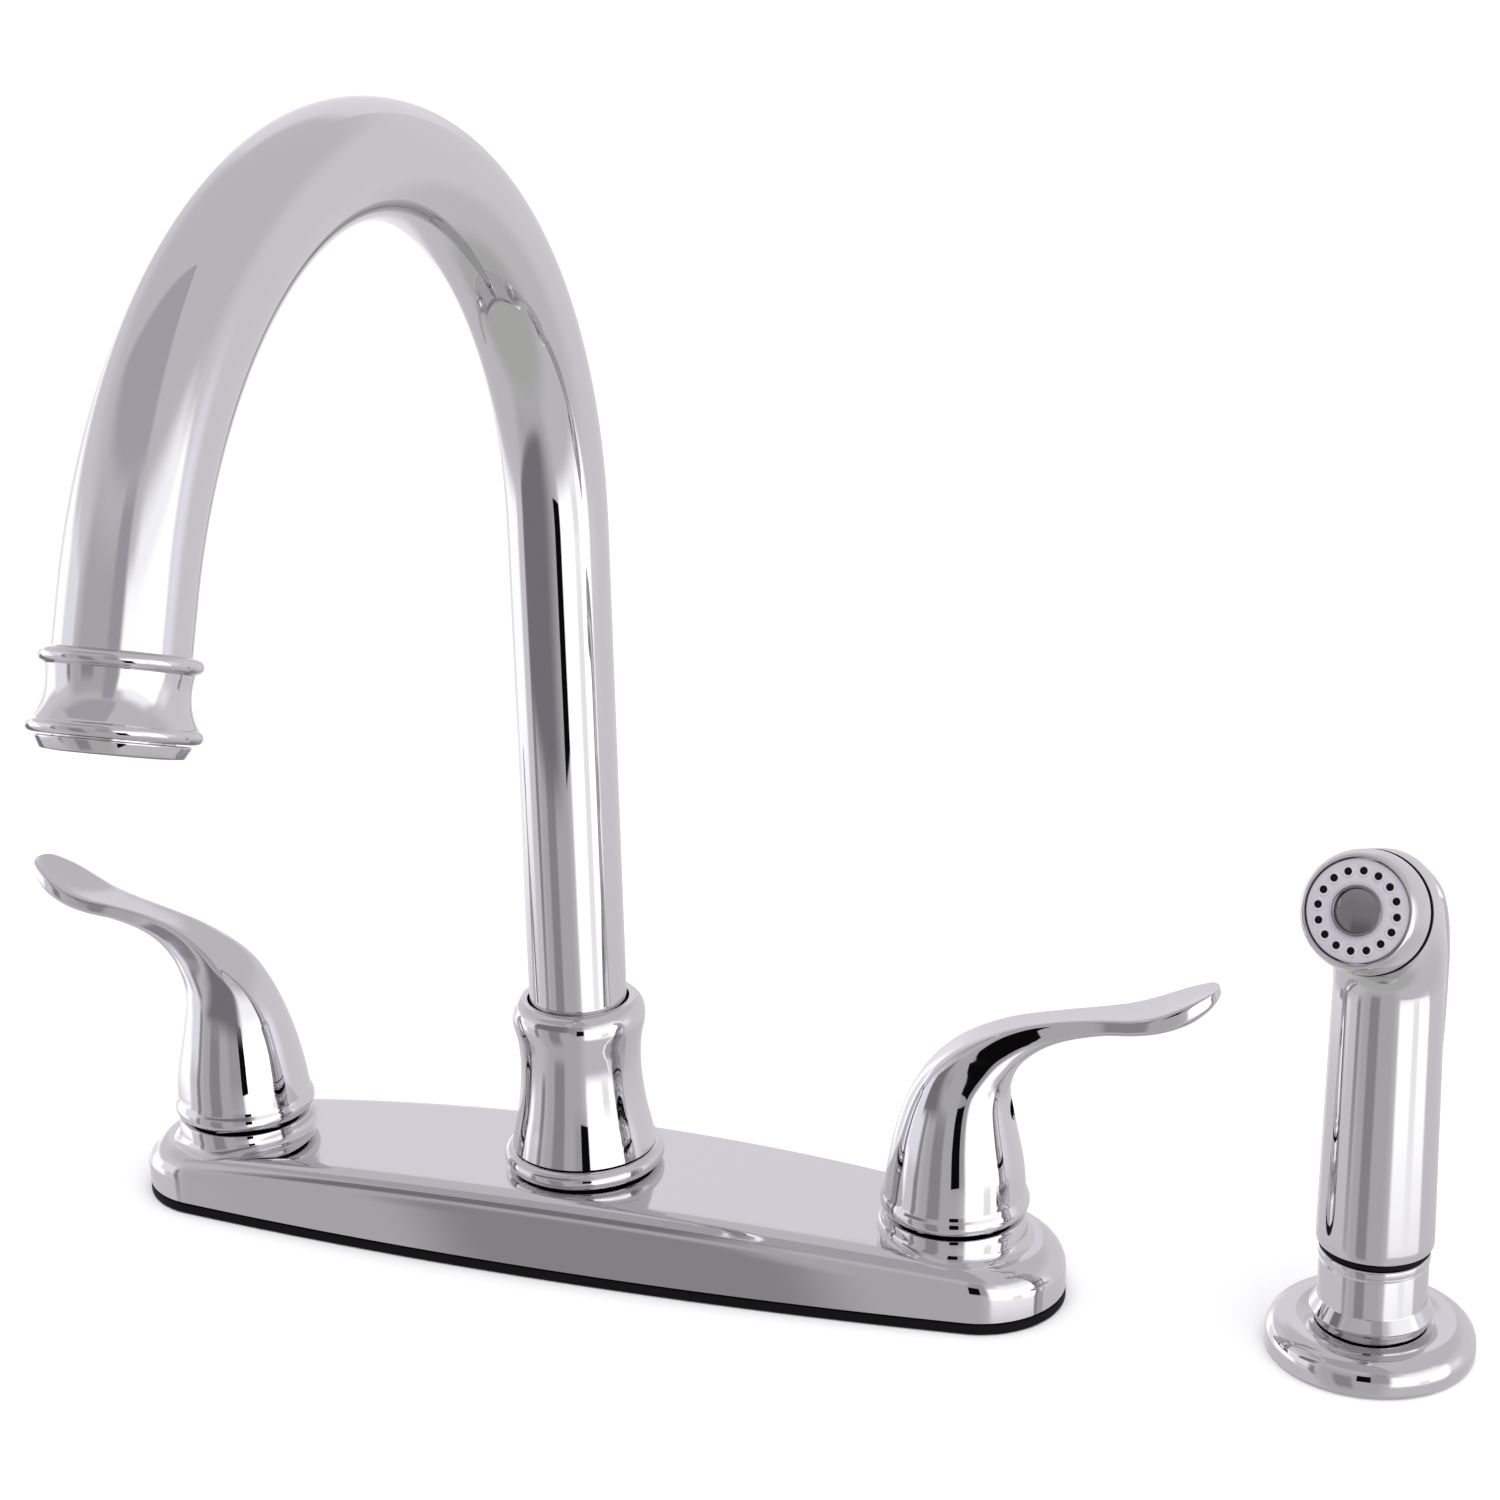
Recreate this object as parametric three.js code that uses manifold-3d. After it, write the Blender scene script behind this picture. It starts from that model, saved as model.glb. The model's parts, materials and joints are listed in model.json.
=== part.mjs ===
// Side spray kitchen faucet: a deck plate with two lever handles, a swivelling gooseneck spout and a
// pull-out side spray in its own holder. Millimetres, +Z up. The origin is the middle of the deck plate
// on the top of the sink deck; +X runs along the plate to the cold handle, -Y is the front of the sink.

import * as THREE from 'three';
import { mergeVertices } from 'three/addons/utils/BufferGeometryUtils.js';
import Module from 'manifold-3d';

// ---------------------------------------------------------------- driving dimensions
const SEAT = 0.3; // gap between two pieces that touch
const RUN = 0.4; // radial gap of a piece that turns or slides in another

// deck plate: two end arcs joined by two flat side arcs, its top crowned along X
const HANDLE_PITCH = 203.2; // centre to centre of the two handles
const PLATE_LENGTH = 260.2;
const PLATE_WIDTH = 55.2;
const PLATE_END_RADIUS = 22.3;
const PLATE_TOP = 22.1; // height of the crown at the spout
const PLATE_DROP = 4.6; // how much lower the top is at the handles
const PLATE_EDGE = 6.4; // fillet round the top edge
const PLATE_WALL = 2.2;
const GASKET_THICKNESS = 2.6;
const GASKET_LIP = 7.5; // width of the gasket's rim
const BOSS_RADIUS = 18.3;
const BOSS_TOP = 22.9;
const BOSS_COVE = 2.4; // radius of the hollow round its foot
const BOSS_CHAMFER = 0.9;

// valves, inlet shanks and what clamps them under the deck
const VALVE_RADIUS = 13;
const VALVE_TOP = 20.2;
const CARTRIDGE_RADIUS = 8.2;
const CARTRIDGE_BOTTOM = 8.2;
const CARTRIDGE_TOP = 31.2;
const BONNET_HEX = 22; // across flats
const BONNET_HEIGHT = 7.6;
const STEM_RADIUS = 4;
const STEM_TOP = 56.5;
const STEM_DEPTH = 7; // how far the stem reaches into the cartridge
const SHANK_RADIUS = 10.45;
const SHANK_BORE = 6.5;
const SHANK_LENGTH = 52; // below the deck's top
const DECK_THICKNESS = 20;
const WASHER_RADIUS = 20;
const WASHER_THICKNESS = 2;
const NUT_HEX = 32; // across flats
const NUT_HEIGHT = 10;

// waterway under the plate
const PIPE_RADIUS = 5;
const PIPE_BORE = 3.2;
const PIPE_HEIGHT = 9.7;
const POST_FOOT_RADIUS = 12.4;
const POST_SHOULDER = 30;
const POST_RADIUS = 9.2;
const POST_TOP = 61;
const POST_BORE = 5.6;
const DIVERTER_RISE = 2; // above the post's shoulder
const DIVERTER_HEIGHT = 22;
const DIVERTER_DISC = 3;
const DIVERTER_WAIST = 3.2;
const O_RING_THICKNESS = 1.8;
const O_RING_HEIGHTS = [40, 53];
const GROOVE_DEPTH = 0.9;
const NIPPLE_RADIUS = 6.6;
const NIPPLE_BORE = 3.5;
const NIPPLE_LENGTH = 30; // below the deck's top

// spout
const TUBE_RADIUS = 12.7;
const TUBE_WALL = 1.3;
const SPOUT_SPRING = 194.4; // height where the straight leg turns into the arc
const SPOUT_ARC_RADIUS = 100.9;
const SPOUT_SWEEP = 159.9; // degrees
const SPOUT_END_STRAIGHT = 10; // past the arc, up to the tip collar
const RING_RADIUS = 21.2;
const RING_HEIGHT = 5;
const BASE_TOP = 69.2;
const BASE_RIM_RADIUS = 17.4;
const BASE_WAIST_RADIUS = 15.8;
const BASE_FOOT_RADIUS = 19.3;
const BASE_WALL = 1.2; // at the waist
const LIP_DEPTH = 9; // how far the base's rim reaches down the tube
const HUB_TOP = 66;
const HUB_RISE = 1.5; // of its foot above the tube's
const HUB_SLACK = 0.5; // more than a seat between the hub and the tube
const BUSH_HEIGHT = 7;
const COLLAR_LENGTH = 15.7;
const COLLAR_SOCKET = 6; // how far the tube goes into the collar
const COLLAR_NECK_RADIUS = 13.35;
const COLLAR_TOP_BEAD = 14.9;
const COLLAR_LOW_BEAD = 15.9;
const AERATOR_RADIUS = 14.2;
const AERATOR_MOUTH = 12.8;
const AERATOR_HEIGHT = 2.7;
const AERATOR_BORE = 9.6;
const AERATOR_SOCKET = 7; // how far the housing goes into the collar
const INSERT_DEPTH = 4; // of the insert's top in the collar
const INSERT_RECESS = 1;
const WASHER_LIP = 1.5; // how far the washer covers the housing's bore
const INSERT_HOLES = 8;
const INSERT_CIRCLE = 6;
const INSERT_HOLE_RADIUS = 1.6;

// lever handles
const HANDLE_BOTTOM = 24;
const HANDLE_BEAD_RADIUS = 19;
const HANDLE_NECK_RADIUS = 18;
const HANDLE_BEAD_HEIGHT = 4.6;
const HANDLE_CAVITY = 15.2;
const HANDLE_CAVITY_TOP = 33;
const SET_SCREW_HEIGHT = 51.5;
const SET_SCREW_RADIUS = 2.4;
const SET_SCREW_LENGTH = 7;
const SET_SCREW_SOCKET = 2.6;
const LEFT_REST_TURN = 7.2; // degrees that each lever lies behind the plate's long axis
const RIGHT_REST_TURN = 7.8;

// side spray
const SPRAY_X = 206.4;
const SPRAY_Y = 1.9;
const SPRAY_TURN = -10.6; // degrees, the way the nozzle looks from straight ahead
const FLANGE_RADIUS = 25.4;
const FLANGE_HEIGHT = 8.7; // of its crown
const FLANGE_WALL = 2;
const FLANGE_FOOT = 3; // width of the flat that rests on the deck
const FLANGE_EDGE = 0.9; // bevel round its foot
const FLANGE_ROUND = 5.2; // radius from its side to its crown
const FLANGE_DIP = 0.7; // how much lower the top is where the holder sits
const FLANGE_GASKET = 1.2;
const HOLDER_RADIUS = 13.2;
const HOLDER_SHANK_RADIUS = 12.8;
const HOLDER_BORE = 10.6;
const HOLDER_RING_RADIUS = 15.1;
const HOLDER_RING_HEIGHT = 6.1;
const HOLDER_BEVEL = 3; // height of the bevel above the ring's widest edge
const HOLDER_TOP = 27.4;
const HOLDER_SHANK_LENGTH = 42;
const HOLDER_NUT_HEX = 36;
const HOLDER_WASHER_RADIUS = 22;
const SEAT_RING_HEIGHT = 1.3;
const WAND_FOOT_RADIUS = 14.2;
const WAND_WAIST_RADIUS = 12.9;
const WAND_HEAD_RADIUS = 14.1;
const WAND_TAIL_LENGTH = 24;
const WAND_BORE = 5.5;
const ELBOW_HEIGHT = 97.8; // where the wand's straight part ends
const ELBOW_RADIUS = 23.6;
const HEAD_STRAIGHT = 3; // past the elbow
const HEEL_RISE = 2.4; // how far the corner at the back of the head stands out
const HEEL_START = 34; // degrees round the elbow to the foot of that corner
const FEED_RADIUS = 4; // of the water's way through the head
const NOZZLE_TILT = 21.8; // degrees above level
const NOZZLE_LENGTH = 10.2;
const NOZZLE_SOCKET_RADIUS = 10.2;
const NOZZLE_SOCKET_DEPTH = 6;
const NOZZLE_SOCKET_WALL = 2;
const NOZZLE_RADIUS = 14.4;
const NOZZLE_RIM = 12.3;
const SEAL_THICKNESS = 0.7;
const FACE_RADIUS = 11.8;
const FACE_RECESS = 0.9;
const FACE_THICKNESS = 3;
const FACE_HOLES = 16;
const FACE_HOLE_CIRCLE = 9.1;
const FACE_HOLE_RADIUS = 0.8;
const BUTTON_RADIUS = 5.6;
const BUTTON_STEP = 1.5; // how much slimmer its shaft is
const COUPLING_HEX = 16;
const COUPLING_LENGTH = 15;
const COUPLING_BARB = 6; // length of the round end for the hose

// spray trigger, its pin and the valve that it pushes
const TRIGGER_FOOT = 68;
const TRIGGER_ELBOW = 54; // degrees round the elbow to the trigger's top edge
const TRIGGER_HALF_WIDTH = 50; // degrees each way round the wand
const TRIGGER_SWELL = [14.6, 17, 17.9, 17.9, 17.5, 16.4]; // outside radius at even steps, foot to top
const TRIGGER_THICKNESS = 2.2;
const TRIGGER_EDGE = 0.8; // how far its long edges stand out of the wand
const TRIGGER_RIM = 1.2; // thickness at those edges
const POCKET_DEPTH = 2.2; // of the hollow in the wand that the trigger sinks into
const POCKET_MARGIN = 7; // degrees more than the trigger on each side
const TONGUE_WIDTH = 6;
const PIN_RADIUS = 1;
const PIN_HALF = 6; // half its length
const PIN_ELBOW = 40; // degrees round the elbow to the pin
const PIN_DEPTH = 4.2; // below the wand's back
const PLUNGER_HEIGHT = 88;
const PLUNGER_RADIUS = 1.8;
const PLUNGER_HEAD_RADIUS = 3.3;
const PLUNGER_HEAD = 2;
const PLUNGER_TAIL = 3; // that the spring sits on
const PLUNGER_TRAVEL = 1.1;
const PLUNGER_REST = 0.8; // from its tip to the middle of the trigger's hollow
const CHAMBER_RADIUS = 3.7;
const CHAMBER_DEPTH = 9; // from the wand's back to the chamber
const CHAMBER_LENGTH = 10;
const SPRING_WIRE = 0.45;
const SPRING_TURNS = 4;

// points round a turned piece, by how much of it shows
const FINE = 20;
const PLAIN = 16;
const SMALL = 12;
const TINY = 8;
const HEXAGON = 6;
const BOSS_SIDES = 20;

// ---------------------------------------------------------------- finishes
const finish = (color, roughness, metalness) =>
  new THREE.MeshStandardMaterial({ color, roughness, metalness });
const CHROME = finish(0xd9dadb, 0.06, 1);
const BRASS = finish(0xc8a45a, 0.35, 1);
const STEEL = finish(0xb4b6b8, 0.3, 1);
const RUBBER = finish(0x121212, 0.8, 0);
const NYLON = finish(0xe8e6df, 0.55, 0);
const GREY_PLASTIC = finish(0xb3b0b8, 0.5, 0);

// ---------------------------------------------------------------- solids
const wasm = await Module();
wasm.setup();

const radians = THREE.MathUtils.degToRad;

// one closed skin: shared corners merged, slivers dropped, faces turned outwards
function skin(geometry) {
  const bare = geometry.index ? geometry.clone() : mergeVertices(geometry.clone());
  bare.deleteAttribute('normal');
  bare.deleteAttribute('uv');
  const merged = mergeVertices(bare, 1e-4);
  const position = merged.attributes.position;
  const corner = [new THREE.Vector3(), new THREE.Vector3(), new THREE.Vector3()];
  const kept = [];
  let volume = 0;
  for (let i = 0; i < merged.index.count; i += 3) {
    const [a, b, c] = [0, 1, 2].map((k) => merged.index.getX(i + k));
    if (a === b || b === c || c === a) continue;
    [a, b, c].forEach((v, k) => corner[k].fromBufferAttribute(position, v));
    volume += corner[0].dot(corner[1].cross(corner[2]));
    kept.push(a, b, c);
  }
  if (volume < 0) {
    for (let i = 0; i < kept.length; i += 3) [kept[i + 1], kept[i + 2]] = [kept[i + 2], kept[i + 1]];
  }
  merged.setIndex(kept);
  return merged;
}

function solid(geometry) {
  const closed = skin(geometry);
  const mesh = new wasm.Mesh({
    numProp: 3,
    vertProperties: new Float32Array(closed.attributes.position.array),
    triVerts: new Uint32Array(closed.index.array),
  });
  return new wasm.Manifold(mesh);
}

function geometryOf(body) {
  const mesh = body.getMesh();
  const geometry = new THREE.BufferGeometry();
  geometry.setAttribute('position', new THREE.BufferAttribute(new Float32Array(mesh.vertProperties), 3));
  geometry.setIndex([...mesh.triVerts]);
  return geometry;
}

const cut = (body, ...tools) => tools.reduce((rest, tool) => rest.subtract(tool), body);
const join = (...bodies) => bodies.reduce((whole, body) => whole.add(body));

// a profile of [radius, height] points turned about Z; it closes on itself or ends on the axis
function turned(profile, sides) {
  const onAxis = profile[0][0] === 0 && profile[profile.length - 1][0] === 0;
  const points = onAxis ? profile : [...profile, profile[0]];
  const geometry = new THREE.LatheGeometry(points.map(([r, z]) => new THREE.Vector2(r, z)), sides);
  return solid(geometry.rotateX(Math.PI / 2));
}

const rod = (radius, bottom, top, sides) =>
  turned([[0, bottom], [radius, bottom], [radius, top], [0, top]], sides);

const sleeve = (inner, outer, bottom, top, sides) =>
  turned([[inner, bottom], [outer, bottom], [outer, top], [inner, top]], sides);

function hexRod(acrossFlats, bottom, top) {
  return rod(acrossFlats / Math.sqrt(3), bottom, top, HEXAGON);
}

function box(width, depth, height, x, y, z) {
  return solid(new THREE.BoxGeometry(width, depth, height).translate(x, y, z));
}

// a rod along X between two places
function crossRod(radius, from, to, height, sides) {
  const length = to - from;
  const geometry = new THREE.CylinderGeometry(radius, radius, length, sides).rotateZ(Math.PI / 2);
  return solid(geometry.translate(from + length / 2, 0, height));
}

// a rod along Y between two places
function depthRod(radius, from, to, height, sides) {
  const length = to - from;
  const geometry = new THREE.CylinderGeometry(radius, radius, length, sides);
  return solid(geometry.translate(0, from + length / 2, height));
}

// rings of equally many points joined into a skin, with a flat lid at each end
function lofted(rings) {
  const count = rings[0].length;
  const corners = rings.flat().flatMap((p) => [p.x, p.y, p.z]);
  const faces = [];
  for (let r = 0; r + 1 < rings.length; r += 1) {
    for (let i = 0; i < count; i += 1) {
      const [a, b] = [r * count + i, r * count + ((i + 1) % count)];
      faces.push(a, b, b + count, a, b + count, a + count);
    }
  }
  // each lid is a ladder between the ring's two halves, so a crescent closes too
  const last = (rings.length - 1) * count;
  for (let i = 0; i + 1 < count / 2; i += 1) {
    const [a, b, c, d] = [i, i + 1, count - 2 - i, count - 1 - i];
    faces.push(a, c, b, a, d, c, last + a, last + b, last + c, last + a, last + c, last + d);
  }
  const geometry = new THREE.BufferGeometry();
  geometry.setAttribute('position', new THREE.Float32BufferAttribute(corners, 3));
  geometry.setIndex(faces);
  return solid(geometry);
}

// ---------------------------------------------------------------- the scene graph
const faucet = new THREE.Group();

function place(name, body, material, parent = faucet) {
  const mesh = new THREE.Mesh(geometryOf(body), material);
  mesh.name = name;
  parent.add(mesh);
  return mesh;
}

function groupAt(x, y, z, parent = faucet) {
  const group = new THREE.Group();
  group.position.set(x, y, z);
  parent.add(group);
  return group;
}

// ---------------------------------------------------------------- deck plate and gasket
const HANDLE_X = HANDLE_PITCH / 2;
const PLATE_BOTTOM = GASKET_THICKNESS + SEAT;
const plateTopAt = (x) => PLATE_TOP - PLATE_DROP * (x / HANDLE_X) ** 2;

const END_STEPS = 5;
const SIDE_STEPS = 5;

// the outline's far half from the left tip to the right tip, as [x, half width]
function plateOutline(inset) {
  const endX = PLATE_LENGTH / 2 - PLATE_END_RADIUS;
  const bulge = PLATE_WIDTH / 2 - PLATE_END_RADIUS;
  const sideCentre = (endX ** 2 - bulge ** 2) / (2 * bulge);
  const sideRadius = PLATE_WIDTH / 2 + sideCentre - inset;
  const endRadius = PLATE_END_RADIUS - inset;
  const turn = Math.atan2(endX, sideCentre);
  const points = [];
  for (let i = 0; i <= END_STEPS; i += 1) {
    const angle = Math.PI / 2 + (i / END_STEPS) * (turn - Math.PI / 2);
    points.push([-endX - endRadius * Math.sin(angle), endRadius * Math.cos(angle)]);
  }
  for (let i = 1; i <= SIDE_STEPS; i += 1) {
    const angle = turn * (i / SIDE_STEPS - 1);
    points.push([sideRadius * Math.sin(angle), sideRadius * Math.cos(angle) - sideCentre]);
  }
  points[0][1] = 0;
  return [...points, ...points.slice(0, -1).reverse().map(([x, y]) => [-x, y])];
}

// a block of the plate's outline; layers of [inset, height at x] from its foot to its top
function plateBlock(layers) {
  const rings = layers.map(([inset, heightAt]) => {
    const far = plateOutline(inset);
    const near = far.slice(1, -1).reverse().map(([x, y]) => [x, -y]);
    return [...far, ...near].map(([x, y]) => new THREE.Vector3(x, y, heightAt(x)));
  });
  const count = rings[0].length;
  const half = count / 2;
  const corners = rings.flat().flatMap((p) => [p.x, p.y, p.z]);
  const faces = [];
  for (let r = 0; r + 1 < rings.length; r += 1) {
    for (let i = 0; i < count; i += 1) {
      const [a, b] = [r * count + i, r * count + ((i + 1) % count)];
      faces.push(b, a, b + count, b + count, a, a + count);
    }
  }
  // each lid is a ladder of strips across the plate, so that it follows the crown
  const lid = (first, flip) => {
    for (let i = 0; i < half; i += 1) {
      const quad = [i, i + 1, (count - i - 1) % count, (count - i) % count].map((k) => first + k);
      const [a, b, c, d] = flip ? [quad[0], quad[3], quad[2], quad[1]] : quad;
      faces.push(a, c, b, a, d, c);
    }
  };
  lid(0, true);
  lid((rings.length - 1) * count, false);
  const geometry = new THREE.BufferGeometry();
  geometry.setAttribute('position', new THREE.Float32BufferAttribute(corners, 3));
  geometry.setIndex(faces.filter((_, i) => {
    const start = i - (i % 3);
    return new Set(faces.slice(start, start + 3)).size === 3;
  }));
  return solid(geometry);
}

const level = (height) => () => height;

function crownedBlock(inset, foot, topAt, fillet, steps) {
  const layers = [[inset, level(foot)]];
  for (let i = 0; i <= steps; i += 1) {
    const angle = (i / steps) * (Math.PI / 2);
    const [inward, drop] = [fillet * (1 - Math.cos(angle)), fillet * (1 - Math.sin(angle))];
    layers.push([inset + inward, (x) => topAt(x) - drop]);
  }
  return plateBlock(layers);
}

// how far a place lies inside the plate's outline
function insetAt(x, y) {
  const endX = PLATE_LENGTH / 2 - PLATE_END_RADIUS;
  const bulge = PLATE_WIDTH / 2 - PLATE_END_RADIUS;
  const sideCentre = (endX ** 2 - bulge ** 2) / (2 * bulge);
  const fromEnd = PLATE_END_RADIUS - Math.hypot(x - endX, y);
  const fromSide = PLATE_WIDTH / 2 + sideCentre - Math.hypot(x, Math.abs(y) + sideCentre);
  return Math.atan2(x - endX, Math.abs(y)) > Math.atan2(endX, sideCentre) ? fromEnd : fromSide;
}

// the plate's top with its fillet
function plateSurfaceAt(x, y) {
  const short = Math.max(0, PLATE_EDGE - insetAt(x, y));
  return plateTopAt(x) - PLATE_EDGE + Math.sqrt(Math.max(0, PLATE_EDGE ** 2 - short ** 2));
}

// the right valve's boss, whose foot sweeps out in a hollow onto the plate wherever that lies
function boss(foot, deck) {
  const steps = 3;
  const sink = 0.3;
  const ring = (radius, heightAt) => Array.from({ length: BOSS_SIDES }, (_, i) => {
    const angle = (2 * Math.PI * i) / BOSS_SIDES;
    const [x, y] = [HANDLE_X + radius * Math.cos(angle), radius * Math.sin(angle)];
    return new THREE.Vector3(x, y, heightAt(x, y));
  });
  const flared = BOSS_RADIUS + BOSS_COVE;
  const rings = [ring(flared, level(foot)), ring(flared, (x, y) => plateSurfaceAt(x, y) - sink)];
  for (let i = 1; i <= steps; i += 1) {
    const angle = radians((90 * i) / steps);
    const share = Math.sin(angle);
    rings.push(ring(flared - BOSS_COVE * share, (x, y) => (1 - share) * plateSurfaceAt(x, y)
      + share * deck + BOSS_COVE * (1 - Math.cos(angle))));
  }
  rings.push(ring(BOSS_RADIUS, level(BOSS_TOP - BOSS_CHAMFER)));
  rings.push(ring(BOSS_RADIUS - BOSS_CHAMFER, level(BOSS_TOP)));
  return lofted(rings);
}

function deckPlate() {
  const shell = crownedBlock(0, PLATE_BOTTOM, plateTopAt, PLATE_EDGE, 4);
  const insideTopAt = (x) => plateTopAt(x) - PLATE_WALL;
  const hollow = crownedBlock(PLATE_WALL, PLATE_BOTTOM - 1, insideTopAt, PLATE_EDGE - PLATE_WALL, 1);
  const foot = insideTopAt(HANDLE_X) - PLATE_WALL;
  const deck = plateTopAt(HANDLE_X);
  const valveBoss = boss(foot, deck);
  const valveHole = rod(VALVE_RADIUS + RUN, foot - 1, BOSS_TOP + 1, PLAIN);
  const postHole = rod(POST_FOOT_RADIUS + RUN, PLATE_BOTTOM, PLATE_TOP + 1, PLAIN);
  const sides = [-HANDLE_X, HANDLE_X];
  const raised = join(shell, valveBoss, valveBoss.mirror([1, 0, 0]));
  return cut(raised, hollow, postHole, ...sides.map((x) => valveHole.translate([x, 0, 0])));
}

function deckGasket() {
  const layers = (inset, low, high) => plateBlock([[inset, level(low)], [inset, level(high)]]);
  return cut(layers(0, 0, GASKET_THICKNESS), layers(GASKET_LIP, -1, GASKET_THICKNESS + 1));
}

place('deck_plate', deckPlate(), CHROME);
place('deck_gasket', deckGasket(), RUBBER);

// ---------------------------------------------------------------- valves under each handle
const sideNames = { left: -1, right: 1 };
const SHANK_FOOT = -SHANK_LENGTH;

const valveBody = turned([
  [SHANK_BORE, SHANK_FOOT], [SHANK_RADIUS, SHANK_FOOT], [SHANK_RADIUS, PLATE_BOTTOM],
  [VALVE_RADIUS, PLATE_BOTTOM], [VALVE_RADIUS, VALVE_TOP], [CARTRIDGE_RADIUS + SEAT, VALVE_TOP],
  [CARTRIDGE_RADIUS + SEAT, CARTRIDGE_BOTTOM - SEAT], [SHANK_BORE, CARTRIDGE_BOTTOM - SEAT],
], PLAIN);

const STEM_FOOT = CARTRIDGE_TOP - STEM_DEPTH;
const cartridge = cut(
  rod(CARTRIDGE_RADIUS, CARTRIDGE_BOTTOM, CARTRIDGE_TOP, PLAIN),
  rod(STEM_RADIUS + RUN, STEM_FOOT - SEAT, CARTRIDGE_TOP + 1, SMALL),
  rod(CARTRIDGE_RADIUS / 2, CARTRIDGE_BOTTOM - 1, (CARTRIDGE_BOTTOM + STEM_FOOT) / 2, SMALL),
);
const bonnetFoot = VALVE_TOP + SEAT;
const bonnetNut = cut(
  hexRod(BONNET_HEX, bonnetFoot, bonnetFoot + BONNET_HEIGHT),
  rod(CARTRIDGE_RADIUS + SEAT, bonnetFoot - 1, bonnetFoot + BONNET_HEIGHT + 1, PLAIN),
);
const stem = rod(STEM_RADIUS, STEM_FOOT, STEM_TOP, SMALL);
const washerTop = -DECK_THICKNESS;
const washer = sleeve(SHANK_RADIUS + RUN, WASHER_RADIUS, washerTop - WASHER_THICKNESS, washerTop, PLAIN);
const nutTop = washerTop - WASHER_THICKNESS - SEAT;
const lockNut = cut(
  hexRod(NUT_HEX, nutTop - NUT_HEIGHT, nutTop),
  rod(SHANK_RADIUS + SEAT, nutTop - NUT_HEIGHT - 1, nutTop + 1, PLAIN),
);

for (const [side, sign] of Object.entries(sideNames)) {
  const column = groupAt(sign * HANDLE_X, 0, 0);
  place(`valve_body_${side}`, valveBody, BRASS, column);
  place(`valve_cartridge_${side}`, cartridge, BRASS, column);
  place(`bonnet_nut_${side}`, bonnetNut, BRASS, column);
  place(`deck_washer_${side}`, washer, STEEL, column);
  place(`lock_nut_${side}`, lockNut, BRASS, column);
}

// ---------------------------------------------------------------- lever handles
// Stations of the bell and lever, at right angles to its spine: the back edge and the belly edge as
// [out, up], the half width, and how flat the back is (0 round, 1 flat with a crisp edge).
const LEVER_STATIONS = [
  [[-17.9, 30.2], [18.0, 30.2], 18.0, 0],
  [[-16.7, 37.5], [17.3, 37.5], 17.1, 0],
  [[-14.7, 46.3], [15.6, 46.3], 15.2, 0],
  [[-11.6, 55.0], [14.1, 54.6], 12.7, 0.05],
  [[-7.4, 61.9], [14.2, 58.8], 10.4, 0.2],
  [[-1.8, 67.2], [15.9, 63.4], 8.6, 0.45],
  [[5.2, 71.6], [18.8, 66.9], 6.7, 0.7],
  [[14.5, 75.4], [23.6, 70.1], 5.1, 0.9],
  [[25.5, 77.8], [29.8, 72.4], 4.4, 1],
  [[36.5, 79.3], [37.6, 74.2], 5.1, 1],
  [[44.0, 80.3], [44.6, 75.0], 6.4, 1],
  [[50.2, 82.1], [51.2, 76.4], 7.2, 1],
  [[56.2, 84.7], [57.6, 78.9], 6.8, 1],
  [[60.8, 86.8], [62.0, 82.0], 5.2, 1],
  [[63.6, 88.0], [64.6, 85.3], 2.9, 1],
];
const LEVER_RINGS = 16;
const RING_POINTS = 18;
const ROUND = 2; // exponent of an ellipse
const FLAT = 6; // exponent of the paddle's flat back

function leverRing(back, belly, halfWidth, flatness) {
  const middle = back.clone().add(belly).multiplyScalar(0.5);
  const rise = back.clone().sub(middle);
  const power = ROUND + (FLAT - ROUND) * flatness;
  return Array.from({ length: RING_POINTS }, (_, i) => {
    const angle = (2 * Math.PI * i) / RING_POINTS;
    const [c, s] = [Math.cos(angle), Math.sin(angle)];
    const exponent = 2 / (c > 0 ? power : ROUND);
    const along = Math.sign(c) * Math.abs(c) ** exponent;
    const across = Math.sign(s) * Math.abs(s) ** exponent;
    return new THREE.Vector3(middle.x + rise.x * along, halfWidth * across, middle.y + rise.y * along);
  });
}

// the bead at the skirt's foot, as rings of [radius, height]
const skirtRings = [
  [HANDLE_BEAD_RADIUS - 2.2, HANDLE_BOTTOM], [HANDLE_BEAD_RADIUS - 0.6, HANDLE_BOTTOM + 0.7],
  [HANDLE_BEAD_RADIUS, HANDLE_BOTTOM + 2.1], [HANDLE_BEAD_RADIUS - 0.3, HANDLE_BOTTOM + 3.7],
  [HANDLE_NECK_RADIUS, HANDLE_BOTTOM + HANDLE_BEAD_HEIGHT],
];

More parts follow.
